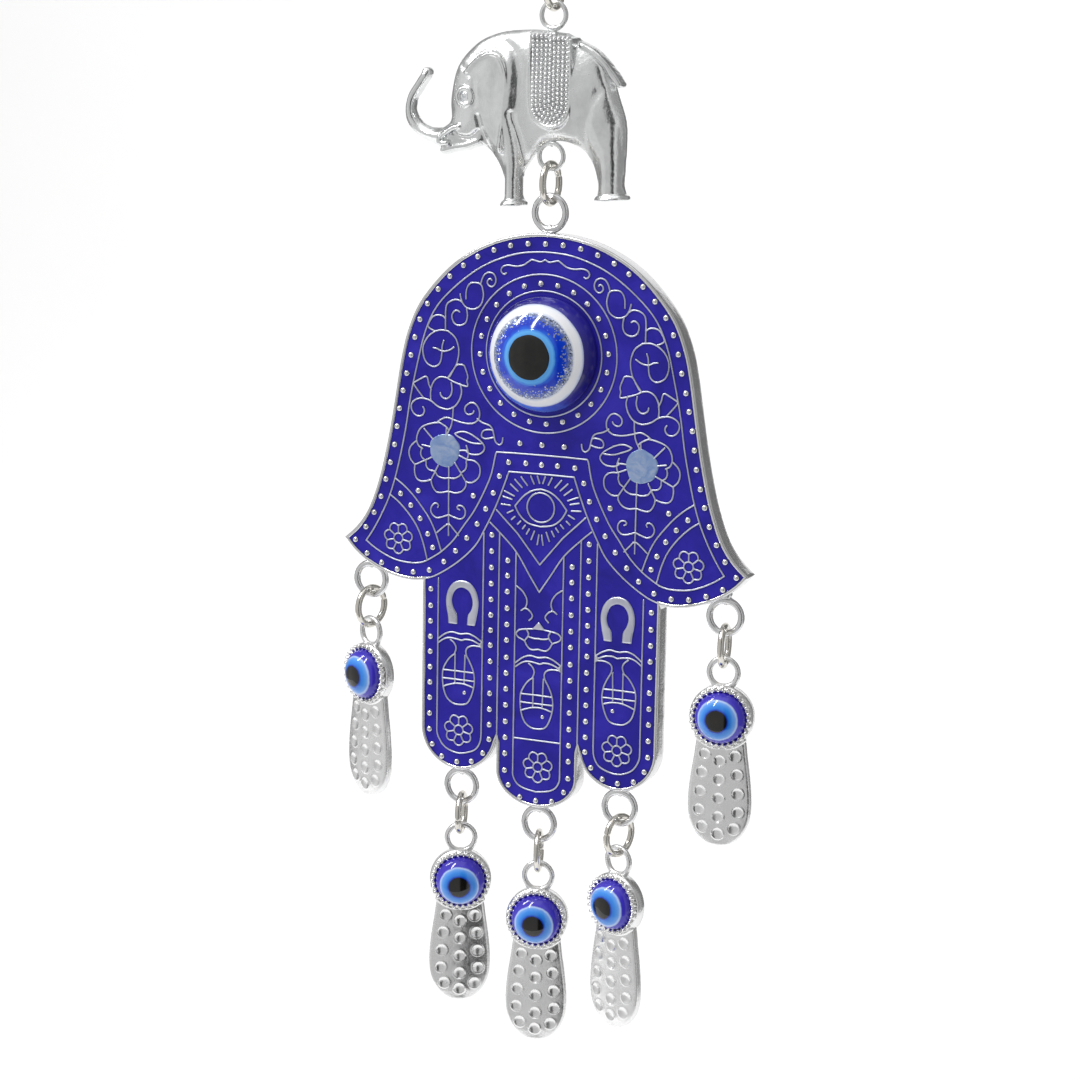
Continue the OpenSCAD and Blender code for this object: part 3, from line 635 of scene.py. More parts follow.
b = Build()
for x, v in DOTS + mirror(DOTS) + DOTS_ONCE:
    b.dome(x, SKIN + 0.03, v + EYE_Z, 0.6, 0.46, 16, 5)
    samples.append(np.array(arc(x, v, 0.4, 0, 360, 9)))
for x, v in SMALL:
    b.dome(x, SKIN + 0.03, v + EYE_Z, 0.42, 0.3, 12, 4)
    samples.append(np.array([(x, v)]))
b.object("hamsa_dots", "hamsa", [SILVER], slot="cast_metal")

# ---- enamel: a poured skin that climbs a little at every line and dot
from mathutils.kdtree import KDTree
S = np.vstack(samples)
kd = KDTree(len(S))
for k, (x, v) in enumerate(S):
    kd.insert((x, v, 0), k)
kd.balance()
step = 0.36
gu, gv = np.arange(-42.48, 42.6, step), np.arange(-89, 23, step)
P = np.stack(np.meshgrid(gu, gv, indexing="ij"), -1).reshape(-1, 2)
sd = signed(OUT, P)
keep = (sd > 0.15) & (np.hypot(P[:, 0], P[:, 1]) > 9.5)
near_line = np.full(len(P), 9.0)
for k in np.flatnonzero(keep):
    near_line[k] = kd.find((P[k, 0], P[k, 1], 0))[2]
near_line = np.minimum(near_line, np.maximum(sd - 0.6, 0))
y = SKIN + 0.015 - 0.055 * np.exp(-near_line / 0.3) + 0.035 * soft((near_line - 0.4) / 1.6) + 0.018 * waves(P, 6.5, 3)
eb = Build()
masked_grid(keep, len(gu), len(gv), np.stack([P[:, 0], y, P[:, 1] + EYE_Z], 1), eb)
ENAMEL = Mat("enamel_blue", Roughness=0.16, Coat_Weight=0.12, Coat_Roughness=0.06)
ENAMEL.b.inputs["Specular IOR Level"].default_value = 0.22
_e = ENAMEL
_line_shade = _e.node("Attribute", attribute_name="line_shade_dist").outputs["Fac"]
_cloud = _e.noise(95, 4, 0.6, distortion=0.6)
_grain = _e.noise(1500, 2, 0.5)
_blue = _e.ramp(_cloud, [(0.3, lin(30, 24, 140)), (0.5, lin(38, 30, 160)), (0.72, lin(50, 42, 178))])
# painted shade: the enamel colour darkens to deep navy within 0.42 mm of every line and dot, standing in for the shade
# at their feet
_e.set("Base Color", _e.mix(_e.rescale(_line_shade, 0.0, 0.42, 0.75, 0.0), _blue, lin(12, 10, 60)))
_e.set("Roughness", _e.rescale(_cloud, 0.3, 0.7, 0.12, 0.24))
_e.set("Normal", _e.bump(_cloud, 0.35, 0.0006, _e.bump(_grain, 0.12, 0.00005)))
eb.object("hamsa_enamel_poured", "hamsa", [ENAMEL.m], ["hamsa_enamel"], slot="enamel", attrs={"line_shade_dist": near_line[keep]})

# ---- flower discs
STONE = Mat("flower_disc", Roughness=0.22, Coat_Weight=0.6, Coat_Roughness=0.05)
_c = STONE.noise(420, 4, 0.65, distortion=1.2)
STONE.set("Base Color", STONE.ramp(_c, [(0.28, lin(104, 134, 190)), (0.5, lin(138, 164, 208)), (0.75, lin(186, 200, 226))]))
STONE.set("Metallic", STONE.rescale(_c, 0.3, 0.7, 0.25, 0.6))
STONE.set("Normal", STONE.bump(_c, 0.5, 0.0002))
for s, side in ((-1, "left"), (1, "right")):
    b = Build()
    wav = np.random.default_rng(11 + s).uniform(0, 6.28, 3)

    def wobble(th, k, r, y, w=wav):
        return r * (1 + 0.030 * np.sin(3 * th + w[0]) + 0.022 * np.sin(5 * th + w[1]) + 0.012 * np.sin(8 * th + w[2])), y + 0.012 * np.sin(2 * th + w[2]) * (r > 0.5)
    b.lathe([(0.01, -2.16), (0.9, -2.155), (1.8, -2.14), (2.6, -2.12), (3.0, -2.09), (3.18, -2.04), (3.24, -1.96), (3.24, -1.5), (0.01, -1.5)],
            96, (s * 20.5, EYE_Z - 19.9), wave=wobble)
    b.object("flower_disc_" + side, "hamsa", [STONE.m], ["flower_stone_" + side], slot="flower_stone")

# ---------------------------------------------------------------- the large eye
EYE_S, EYE_TOP = 13.33, -9.4


def dome_y(r):
    return EYE_TOP + EYE_S - math.sqrt(max(EYE_S ** 2 - r * r, 0)) + 1.0 * max(0.0, (r - 9.6) / 1.4) ** 3


def edge_wave(r, th):
    return r + 0.035 * np.sin(2 * th + r) + 0.025 * np.sin(5 * th + 2 * r) + 0.02 * np.sin(9 * th + 3 * r)


def zone(name, r0, r1, mats, replaces, slot, lift=0.0, rows=10):
    b = Build()
    th = np.arange(180) * 2 * math.pi / 180
    e0 = edge_wave(r0, th) if r0 > 0 else np.full(180, 0.004)
    e1 = edge_wave(r1, th) if r1 < 11 else np.full(180, 11.0)
    pts = []
    for w, sink in [(0.0, 0.5)] + [(k / rows, 0.0) for k in range(rows + 1)] + [(1.0, 0.5)]:
        r = e0 + (e1 - e0) * w
        yy = np.array([dome_y(q) for q in r]) - lift * math.sin(min(w if r0 > 0 else 1, 1 - w if r1 < 11 else 1, 0.12) / 0.12 * math.pi / 2) + sink
        pts.append(np.stack([r * np.cos(th), yy, r * np.sin(th)], 1))
    if r1 >= 11:
        pts[-1] = np.stack([11.0 * np.cos(th), np.full(180, -1.5), 11.0 * np.sin(th)], 1)
        pts.append(np.stack([10.2 * np.cos(th), np.full(180, -1.5), 10.2 * np.sin(th)], 1))
    b.grid(np.array(pts), wrap_v=True)
    return b.object(name, "hamsa", mats, replaces, slot=slot, place=Matrix.Translation((0, 0, EYE_Z * MM)), sharp=50)


def radial(m):
    """Distance from the eye's axis (m), and the angle round it."""
    sep = m.node("SeparateXYZ")
    m.put(sep.inputs[0], m.coord())
    x, z = sep.outputs[0], sep.outputs[2]
    r = m.math("SQRT", m.math("ADD", m.math("MULTIPLY", x, x), m.math("MULTIPLY", z, z)))
    return r, m.math("ARCTAN2", z, x), x, z


def eye_mat(name, rough=0.08, coat=1.0):
    m = Mat(name, Roughness=rough, Coat_Weight=coat, Coat_Roughness=0.02, Coat_IOR=1.5)
    m.b.inputs["Specular IOR Level"].default_value = 0.1
    return m


BLACK = eye_mat("eye_black", 0.35, 0.7)
_n = BLACK.noise(900, 3)
BLACK.set("Base Color", BLACK.ramp(_n, [(0.3, lin(6, 6, 6)), (0.7, lin(20, 19, 16))]))
LIGHT = eye_mat("eye_light_blue", 0.25)
_r, _a, _x, _z = radial(LIGHT)
_n = LIGHT.noise(350, 3)
LIGHT.set("Base Color", LIGHT.ramp(LIGHT.math("ADD", LIGHT.rescale(_r, 0.0042, 0.0054, 0.0, 1.0), LIGHT.rescale(_n, 0.3, 0.7, -0.12, 0.12)),
                                   [(0.0, lin(82, 160, 232)), (0.55, lin(92, 176, 246)), (0.95, lin(44, 118, 226))]))
GLIT = eye_mat("eye_glitter", 0.2)
_r, _a, _x, _z = radial(GLIT)
_v = GLIT.node("TexVoronoi", feature="F1")
_v.inputs["Scale"].default_value = 3600
GLIT.put(_v.inputs["Vector"], GLIT.coord())
_s = GLIT.node("SeparateColor")
GLIT.put(_s.inputs[0], _v.outputs["Color"])
_chance = GLIT.math("POWER", GLIT.rescale(_r, 0.0060, 0.0080, 0.99, 0.14), 0.55)
_flake = GLIT.math("GREATER_THAN", _s.outputs[0], _chance)
_n = GLIT.noise(300, 3)
_under = GLIT.ramp(GLIT.math("ADD", GLIT.rescale(_r, 0.0053, 0.0081, 0.0, 1.0), GLIT.rescale(_n, 0.3, 0.7, -0.15, 0.15)),
                   [(0.0, lin(16, 98, 224)), (0.25, lin(6, 52, 200)), (0.62, lin(14, 66, 206)), (0.84, lin(104, 122, 176)), (1.0, lin(196, 204, 222))])
GLIT.set("Base Color", GLIT.mix(_flake, _under, GLIT.ramp(_s.outputs[1], [(0.0, lin(92, 108, 146)), (0.5, lin(160, 172, 198)), (1.0, lin(246, 249, 255))])))
GLIT.set("Metallic", GLIT.math("MULTIPLY", _flake, 0.75))
_g = GLIT.node("NewGeometry")
_t = GLIT.node("VectorMath", operation="SUBTRACT")
GLIT.put(_t.inputs[0], _v.outputs["Color"])
_t.inputs[1].default_value = (0.5, 0.5, 0.5)
_k = GLIT.node("VectorMath", operation="SCALE")
GLIT.put(_k.inputs[0], _t.outputs[0])
GLIT.put(_k.inputs["Scale"], GLIT.math("MULTIPLY", _flake, 1.1))
_p = GLIT.node("VectorMath", operation="ADD")
GLIT.put(_p.inputs[0], _g.outputs["Normal"])
GLIT.put(_p.inputs[1], _k.outputs[0])
_q = GLIT.node("VectorMath", operation="NORMALIZE")
GLIT.put(_q.inputs[0], _p.outputs[0])
GLIT.set("Normal", _q.outputs[0])
WHITE = eye_mat("eye_white", 0.25)
_r, _a, _x, _z = radial(WHITE)
_n = WHITE.noise(260, 3)
WHITE.set("Base Color", WHITE.ramp(WHITE.math("ADD", WHITE.rescale(_r, 0.0081, 0.0097, 0.0, 1.0), WHITE.rescale(_n, 0.3, 0.7, -0.08, 0.08)),
                                   [(0.0, lin(214, 222, 240)), (0.2, lin(250, 251, 253)), (0.8, lin(244, 247, 253)), (1.0, lin(196, 208, 240))]))
GLASS = eye_mat("eye_blue_glass", 0.12)
_r, _a, _x, _z = radial(GLASS)
_n = GLASS.noise(160, 3, distortion=0.8)
# painted light: the outer blue is darker navy at the right and brighter towards lower left, painting a glow of light
# through the dome
_glow_side = GLASS.math("ADD", GLASS.math("MULTIPLY", _x, -52.0), GLASS.math("MULTIPLY", _z, -64.0))   # towards lower left
_blue_with_painted_glow = GLASS.ramp(GLASS.math("ADD", GLASS.rescale(_glow_side, -0.8, 0.85, 0.0, 1.0), GLASS.rescale(_n, 0.3, 0.7, -0.10, 0.10)),
                   [(0.0, lin(44, 38, 150)), (0.3, lin(26, 18, 110)), (0.62, lin(40, 32, 150)), (0.86, lin(66, 110, 238)), (1.0, lin(80, 132, 246))])
GLASS.set("Base Color", _blue_with_painted_glow)

zone("eye_blue_body", 9.65, 11, [GLASS.m], ["eye_body"], "eye_blue", rows=14)
zone("eye_white_band", 8.1, 9.7, [WHITE.m], ["eye_white_ring"], "eye_white", lift=0.02)
zone("eye_glitter_band", 5.3, 8.12, [GLIT.m], ["eye_glitter_ring"], "eye_glitter", lift=0.0, rows=14)
zone("eye_light_band", 4.2, 5.32, [LIGHT.m], ["eye_light_ring"], "eye_light", lift=0.02)
zone("eye_black_pupil", 0, 4.22, [BLACK.m], ["eye_pupil"], "eye_black", lift=0.05, rows=14)


# ---------------------------------------------------------------- rings of wire
def jump_ring(name, body, z, turn, R, wire, seam, replaces, x=0.0, slot="ring_metal"):
    """Round wire bent to a ring, edge on, with the cut's two ends all but meeting."""
    a = math.radians(90 + turn)
    d = np.array([math.cos(a), math.sin(a), 0])
    nrm = np.cross(d, (0, 0, 1))
    gap = 0.09 / R
    th = math.radians(seam) + np.linspace(gap / 2, 2 * math.pi - gap / 2, 73)
    off = np.linspace(-0.035, 0.035, len(th))       # the two ends sit a hair to either side
    path = np.array([x, 0, z]) + R * (np.cos(th)[:, None] * d + np.sin(th)[:, None] * np.array([0, 0, 1])) + off[:, None] * nrm
    r = np.full(len(path), wire / 2)
    r[[0, -1]] *= 0.86
    b = Build()
    b.tube(path, r, 20, caps=False, up=nrm)
    b.object(name, body, [NICKEL], replaces, slot=slot, sharp=50)


jump_ring("top_jump_ring", "top_link", TOP_Z, 0, LINK_R, 1.3, 200, ["top_link"])
jump_ring("mid_jump_ring", "mid_link", MID_Z, 0, LINK_R, 1.3, 20, ["mid_link"])
for i in range(5):
    jump_ring("jump_ring_%d" % (i + 1), "link_%d" % (i + 1), LINK_C[i], LINK_TURN[i], LINK_R, 1.3, [15, 190, -12, 168, 25][i],
              ["link_%d" % (i + 1)], x=PEND_X[i])

# hanging ring: a split ring of two flattened turns
b = Build()
th = np.linspace(math.radians(62), math.radians(62) + 4 * math.pi - 0.16, 290)
u = (th - th[0]) / (th[-1] - th[0])
yy = -0.38 + 0.76 * soft((u - 0.46) / 0.08)
path = np.stack([RING_R * np.cos(th), yy, RING_Z + RING_R * np.sin(th)], 1)
sec = [(0.80 * math.copysign(abs(math.cos(a)) ** 0.45, math.cos(a)), 0.36 * math.copysign(abs(math.sin(a)) ** 0.45, math.sin(a))) for a in np.arange(16) * math.pi / 8 + 0.01]
rows = []
for k, (p, t) in enumerate(zip(path, th)):
    e = np.array([math.cos(t), 0, math.sin(t)])
    sc = 0.8 if k in (0, len(path) - 1) else 1.0
    row = []
    for s0, s1 in sec:
        y = p[1] + s1 * sc
        most = math.sqrt(max(0.80 ** 2 - y * y, 0.05))      # the two turns together stay in the wire's round
        row.append(p + e * max(-most, min(most, s0 * sc)) + np.array([0, 1, 0]) * s1 * sc)
    rows.append(row)
g = np.array(rows)
b.grid(g, wrap_v=True)
b.add(g[0], [tuple(range(16))])
b.add(g[-1], [tuple(range(16))])
b.object("hanging_split_ring", "hanging_ring", [NICKEL], ["hanging_ring"], slot="ring_metal", sharp=50)

# ---------------------------------------------------------------- pendants
PADDLE = [(4.2, 3), (4.7, 5), (5.1, 8), (5.6, 11.3), (5.95, 14.6), (6.05, 17.4), (5.85, 19.6), (5.2, 21.6), (4, 23.4), (2.2, 24.7), (0.02, 25.2)]
DIMPLES = [(s * x, d) for x, d in zip((2.9, 3.35, 3.6, 3.75, 3.05), (7.3, 10.9, 14.6, 18.2, 21.4)) for s in (1, -1)] + [(0, d) for d in (8.4, 12, 15.7, 19.3, 22.6)]


def pendant_mesh():
    b = Build()
    th = np.linspace(0, 2 * math.pi, 49)[:-1]
    R, w = PLOOP_R, 1.1
    fat = w / 2 * (1 + 0.22 * np.exp(-((np.angle(np.exp(1j * (th + math.pi / 2)))) / 0.6) ** 2))
    b.tube(np.stack([R * np.cos(th), np.zeros(48), R * np.sin(th)], 1), fat, 16, closed=True)
    b.tube([(0, -0.05, -R + 0.1), (0, -0.05, -R - 0.3), (0, -0.05, -R - 0.9)], [0.62, 0.75, 1.0], 14, squash=(1.1, 0.8))
    cz = -HEAD_DROP
    n = 28
    def teeth(t, k, r, y):
        if k in (8, 9, 10, 11, 12):
            c = 0.5 + 0.5 * np.cos(n * t)
            c = soft(c * 1.25)
            r = r + {8: 0.08, 9: 0.16, 10: 0.08, 11: -0.05, 12: 0}[k] * c - {8: 0.16, 9: 0.40, 10: 0.36, 11: 0.12, 12: 0}[k] * (1 - c)
            y = y + {8: 0.14, 9: 0.50, 10: 0.72, 11: 0.62, 12: 0.15}[k] * (1 - c)
        return r, y
    b.lathe([(0.01, 1.12), (4.8, 1.14), (5.6, 1.16), (5.95, 1.06), (6.13, 0.8), (6.15, -0.9), (6.05, -1.22), (5.83, -1.38),
             (5.84, -1.75), (5.80, -2.2), (5.55, -2.42), (5.28, -2.34), (5.06, -2.0), (5.0, -1.2), (4.9, -1.02), (0.01, -1.0)],
            n * 8, (0, cz), wave=teeth)
    # paddle
    half = cr(PADDLE, 8)
    s = np.linspace(0, 1, 150)
    cum = np.r_[0, np.cumsum(np.linalg.norm(np.diff(half, axis=0), axis=1))]
    hw = np.interp(s * cum[-1], cum, half[:, 0])
    dp = np.interp(s * cum[-1], cum, half[:, 1])
    tf = np.sin(np.linspace(-math.pi / 2, math.pi / 2, 81))
    tf = 0.5 * tf + 0.5 * np.linspace(-1, 1, 81)
    rows = []
    dim = np.array(DIMPLES)
    for k in range(len(s)):
        x = hw[k] * tf
        z = np.full(len(x), -dp[k])
        # the edge's height follows the distance to the outline, so the tip rounds off like the sides
        tip = soft((25.2 - dp[k]) / 3.0)
        e = np.minimum(hw[k] - np.abs(x), (25.2 - dp[k]) * 0.9)
        y = -0.62 - 0.20 * np.sqrt(np.clip(e / 0.45, 0, 1)) - 0.55 * (1 - np.abs(tf) ** 2.2) * (0.35 + 0.65 * tip)
        for dx, dd in dim:
            r = np.hypot(x - dx, dp[k] - dd)
            y = y + 0.27 * np.clip(1 - (r / 1.08) ** 2, 0, 1) - 0.10 * np.exp(-((r - 1.17) / 0.10) ** 2)
        xb = hw[k] * np.linspace(1, -1, 17)
        eb_ = np.minimum(hw[k] - np.abs(xb), (25.2 - dp[k]) * 0.9)
        yb = 0.55 + 0.3 * np.sqrt(np.clip(eb_ / 0.5, 0, 1))
        side_y = np.linspace(y[-1], yb[0], 5)[1:-1]
        side_y2 = np.linspace(yb[-1], y[0], 5)[1:-1]
        bulge = 0.08
        row = [(x[j], y[j], z[j]) for j in range(len(x))] + [(hw[k] + bulge * min(1, hw[k]), q, -dp[k]) for q in side_y] + \
              [(xb[j], yb[j], -dp[k]) for j in range(len(xb))] + [(-hw[k] - bulge * min(1, hw[k]), q, -dp[k]) for q in side_y2]
        rows.append(row)
    g = np.array(rows)
    g[:, :, 2] += cz
    b.grid(g, wrap_v=True)
    # neck between head and paddle: a low collar under the bezel
    ca = np.radians(np.linspace(222, 318, 25))
    b.tube(np.stack([6.05 * np.cos(ca), np.full(25, -1.0), cz + 6.05 * np.sin(ca)], 1), 0.5, 12, squash=(1.0, 0.8))
    return b


BEAD = eye_mat("bead_resin", 0.2)
_r, _a, _x, _z = radial(BEAD)
_n = BEAD.noise(700, 3)
_rr = BEAD.math("ADD", BEAD.rescale(_r, 0.0, 0.005, 0.0, 1.0), BEAD.rescale(_n, 0.3, 0.7, -0.012, 0.012))
BEAD.set("Base Color", BEAD.ramp(_rr, [(0.0, lin(26, 22, 18)), (0.40, lin(10, 9, 8)), (0.435, lin(18, 66, 190)), (0.49, lin(40, 122, 226)), (0.60, lin(62, 148, 240)),
                                       (0.70, lin(110, 168, 248)), (0.755, lin(188, 214, 252)), (0.80, lin(66, 56, 200)), (1.0, lin(50, 36, 176))]))
BEAD_OFF = [(0, -0.1), (-0.15, -0.5), (-0.1, -0.5), (0.1, -0.1), (-0.1, 0)]
for i in range(5):
    k = i + 1
    place = Matrix.Translation((PEND_X[i] * MM, 0, PEND_C[i] * MM)) @ Matrix.Rotation(math.radians(PEND_TURN[i]), 4, "Z")
    pendant_mesh().object("pendant_%d_cast" % k, "pendant_%d" % k, [SATIN], ["pendant_%d" % k], slot="cast_metal", place=place, sharp=60)
    b = Build()
    rs = 4.98 * np.sin(np.linspace(0.002, math.pi / 2, 34))
    prof = [(r, -5.1 + 5.76 - math.sqrt(5.76 ** 2 - r * r) + 0.5 * max(0.0, (r - 4.3) / 0.68) ** 3) for r in rs] + [(4.98, -1.02), (0.01, -1.0)]
    ox, oz = BEAD_OFF[i]              # the printed rings sit a little off centre
    b.lathe(prof, 96, (-ox, -oz))
    b.object("bead_%d_resin" % k, "pendant_%d" % k, [BEAD.m], ["bead_%d" % k], slot="bead_resin",
             place=place @ Matrix.Translation((ox * MM, 0, (oz - HEAD_DROP) * MM)), sharp=60)

# ---------------------------------------------------------------- the elephant: a relief sculpted as a field, then meshed
EV = ELOOP_LOW - 36.9
E_OUT = [(-2.7, 60.2), (-7.4, 60.1), (-11.5, 59.4), (-15.6, 57.5), (-19.5, 53.2), (-20.9, 47.2), (-20.9, 43.0),
         (-23.6, 41.6), (-27, 42.6), (-28.6, 45.6), (-27.2, 48.6), (-25.6, 50.7), (-26.6, 51.4), (-28.3, 49.6), (-30.4, 46.4),
         (-30.3, 42.8), (-28, 40.2), (-24.4, 38.5), (-21.4, 37.5), (-17.4, 37.6), (-13.7, 38.3), (-11.2, 36), (-9.7, 33), (-9.2, 30.4), (-9.2, 27.9)]
E_LEGS = [(-5.9, 27.9), (-6.0, 30.5), (-5.7, 33.6), (-3.5, 36.8), (-0.8, 39.2), (1.4, 39.7), (4.6, 39.1),
          (7, 37.8), (8.7, 35.3), (9.6, 32), (9.9, 29.6), (14.8, 30.2), (14.7, 32.2), (15.0, 38), (14.9, 43.4),
          (13.4, 48.0), (12.2, 51.6), (10.9, 54.4), (9.0, 56.4), (6.8, 57.8), (3, 59.6)]
EAR = [(-17.4, 52.1), (-15.5, 54.1), (-13.5, 55.5), (-11.4, 56.2), (-9.4, 55.7), (-8.0, 53.6), (-7.4, 50.4), (-7.7, 46.2), (-8.1, 42.5), (-8.9, 37.2),
       (-10.6, 38.6), (-12.6, 41.4), (-13.9, 45), (-14.2, 49.2), (-15.4, 51.0), (-17.4, 52.1)]
step = 0.2
gx, gz = np.arange(-32, 18.6, step), np.arange(26.4, 62, step)
P = np.stack(np.meshgrid(gx, gz, indexing="ij"), -1).reshape(-1, 2)
U, V = P[:, 0], P[:, 1]
poly = np.vstack([cr(E_OUT, 4), cr(E_LEGS, 4)])
d = signed(poly, P)


def pillow(d, R, base, top):
    t = np.clip(d / R, 0, 1)
    return np.where(d >= 0, base + (top - base) * np.sqrt(1 - (1 - t) ** 2), base + 14 * d)


def gauss(u, v, su, sv):
    return np.exp(-((U - u) / su) ** 2 - ((V - v) / sv) ** 2)


def smax(a, b_, k):
    h = np.clip(0.5 + 0.5 * (a - b_) / k, 0, 1)
    return b_ + (a - b_) * h + k * h * (1 - h)


H = pillow(d, 7.5, -0.2, 2.6)
H += (0.55 * gauss(3, 50, 9, 7) + 0.5 * gauss(11.0, 46, 3.4, 8) + 0.75 * gauss(-4.5, 45, 4.5, 9) + 0.7 * gauss(-15.5, 48.5, 4.2, 5) + 0.9 * gauss(-8.5, 47, 2.6, 10) - 0.75 * gauss(-4.2, 46, 2.2, 9)) * soft(d / 1.5)
# legs as half-round columns
for line, r, top in (([(-7.2, 40), (-7.5, 34), (-7.55, 27.4)], 1.75, 2.3), ([(12.0, 42), (12.2, 36), (12.3, 29.4)], 2.45, 2.5)):
    q = near(line, P)
    leg = np.where(q < r, -0.3 + (top + 0.3) * np.sqrt(np.clip(1 - (q / r) ** 2, 0, 1)), -0.3 - 14 * (q - r))
    leg = np.where(V < line[-1][1] + 0.1, leg - 14 * np.clip(line[-1][1] + 0.1 - V, 0, None), leg)
    H = smax(H, np.where(d > -0.1, leg, -5), 0.5)
# folds: shoulder, haunch, belly, mouth, brow
for line, depth, width in (([(-5.3, 36), (-5.8, 40), (-7.0, 44.5)], 0.7, 0.8), ([(8.8, 36.5), (7.6, 40.5), (8.3, 45), (10.2, 49)], 0.35, 0.9),
                           ([(-11.8, 37.4), (-13.4, 40.6), (-14.2, 44)], 0.5, 0.6), ([(-20.4, 41.3), (-18.6, 40.2), (-16.2, 40.0), (-14.4, 41.2)], 0.55, 0.45),
                           ([(-18.0, 53.2), (-16.2, 52.2), (-15.0, 50.4), (-14.7, 46)], 0.3, 0.5), ([(-8.6, 57.6), (-6.6, 55.6), (-5.8, 51), (-6.2, 45)], 0.35, 0.9)):
    H -= depth * np.exp(-(near(cr(line, 4), P) / width) ** 2) * (d > 0.3)
# trunk: a round tube curling up to its knob
trunk = cr([(-20.6, 41.2), (-22.6, 40.2), (-25.0, 40.2), (-27.6, 41.4), (-29.3, 44.0), (-29.1, 47.0), (-27.6, 49.4), (-26.2, 51.4)], 5)
q = near(trunk, P)
rt = 0.95 + 0.5 * soft((U + 26) / 6)
H = smax(H, np.where(q < rt, -0.1 + 1.5 * rt * np.sqrt(np.clip(1 - (q / rt) ** 2, 0, 1)), -0.1 - 14 * (q - rt)), 0.25)
q = np.hypot(U + 26.0, V - 51.9)
H = smax(H, np.where(q < 1.0, 0.1 + 1.0 * np.sqrt(np.clip(1 - (q / 1.0) ** 2, 0, 1)), 0.1 - 14 * (q - 1.0)), 0.1)
# tusk and lower lip
q = near(cr([(-18.2, 42.0), (-19.6, 41.6), (-21.2, 40.6), (-22.4, 39.4), (-22.0, 38.8), (-20.8, 38.9)], 5), P)
H = smax(H, np.where(q < 0.55, 1.9 + 0.75 * np.sqrt(np.clip(1 - (q / 0.55) ** 2, 0, 1)), 1.9 - 9 * (q - 0.55)), 0.15)
q = near(cr([(-21.9, 37.5), (-19.5, 38.1), (-17, 38.5), (-14.6, 39.4)], 5), P)
H = smax(H, np.where(q < 0.8, 0.6 + 1.2 * np.sqrt(np.clip(1 - (q / 0.8) ** 2, 0, 1)), 0.6 - 9 * (q - 0.8)), 0.2)
# ear: a thin leaf with a rolled rim
de = signed(cr(EAR, 4), P)
rim = near(cr([(-17.2, 51.6), (-15.4, 53.6), (-13.4, 55.0), (-11.4, 55.6), (-9.7, 55.1), (-8.5, 53.2), (-8.0, 50.4), (-8.3, 46.2), (-8.7, 42.5), (-9.3, 38.4)], 5), P)
ear = 2.25 + 0.11 * (U + 17) + 0.25 * soft(de / 0.5) + 0.42 * np.exp(-(rim / 0.42) ** 2) + 0.35 * gauss(-11.9, 49.5, 2.6, 5.5) + 14 * np.minimum(de - 0.05, 0)
H = smax(H, ear, 0.18)
# socket for the stone
q = np.hypot(U + 16.7, V - 47.6)
H = smax(H, np.where(q < 2.15, 2.6 + 0.75 * np.sqrt(np.clip(1 - ((q - 1.55) / 0.5) ** 2, 0, 1)) - 3 * np.clip(1.1 - q, 0, 0.25), 2.7 - 10 * (q - 2.15)), 0.15)
# blanket: a raised cloth with a smooth border
BL = cr([(-3.6, 59.6), (-3.75, 55), (-3.7, 50), (-3.5, 46.4), (-2.8, 43.9), (-1.0, 42.4), (0.9, 42.0), (2.9, 42.5), (4.5, 44.1), (5.1, 46.4), (5.2, 50), (5.2, 55), (5.1, 58.6)], 4)
db = signed(BL, P)
H = smax(H, np.where(db > 0, 2.85 + 0.30 * np.exp(-((db - 0.38) / 0.30) ** 2) + 0.25 * gauss(0.8, 50, 5, 9), 2.85 + 12 * db), 0.12)
# hooves: a cone that flares to a thin foot plate
for cx, cy, w in ((-7.55, 28.35, 2.6), (12.45, 30.05, 3.5)):
    k = V - (cy + 0.06 * (U - cx))
    wide = w * (0.70 + 0.30 * soft((0.55 - k) / 0.85))
    q = np.abs(U - cx)
    rise = 2.2 + 1.0 * soft((0.55 - k) / 0.85)
    hoof = -0.4 + (rise + 0.4) * np.sqrt(np.clip(1 - (q / wide) ** 2, 0, 1)) - 14 * np.clip(q - wide, 0, None) - 14 * np.clip(-k - 0.85, 0, None) - 8 * np.clip(k - 0.75, 0, None)
    hoof -= 0.35 * np.exp(-((k + 0.22) / 0.13) ** 2) * (q < wide)
    H = smax(H, np.maximum(hoof, -6), 0.10)
# tail, lying off the rump
tail = cr([(6.2, 57.4), (8.6, 56.2), (10.9, 54.2), (12.4, 52.2), (13.9, 50.4)], 5)
q = near(tail, P)
rr = 0.62 + 0.25 * gauss(12.6, 52, 1.4, 1.4)
H = smax(H, np.where(q < rr, 0.9 + 0.9 * np.sqrt(np.clip(1 - (q / rr) ** 2, 0, 1)), 0.9 - 14 * (q - rr)), 0.1)
H = np.maximum(H, -8)
B = np.where(H > 0, 0.95, 0.95) - 0.35 * soft((d - 1.4) / 0.9) * (U > -20) + 0 * U
B = np.where(H < 0.6, np.minimum(B, 0.6 + 0.35 * soft((H + 0.6) / 1.2)), B)
nu, nv = len(gx), len(gz)
ys = np.arange(-4.4, 1.8, step)
F = np.maximum(-H.reshape(nu, 1, nv) - ys[None, :, None], ys[None, :, None] - B.reshape(nu, 1, nv))
F = np.clip(F, -1.5, 1.5)


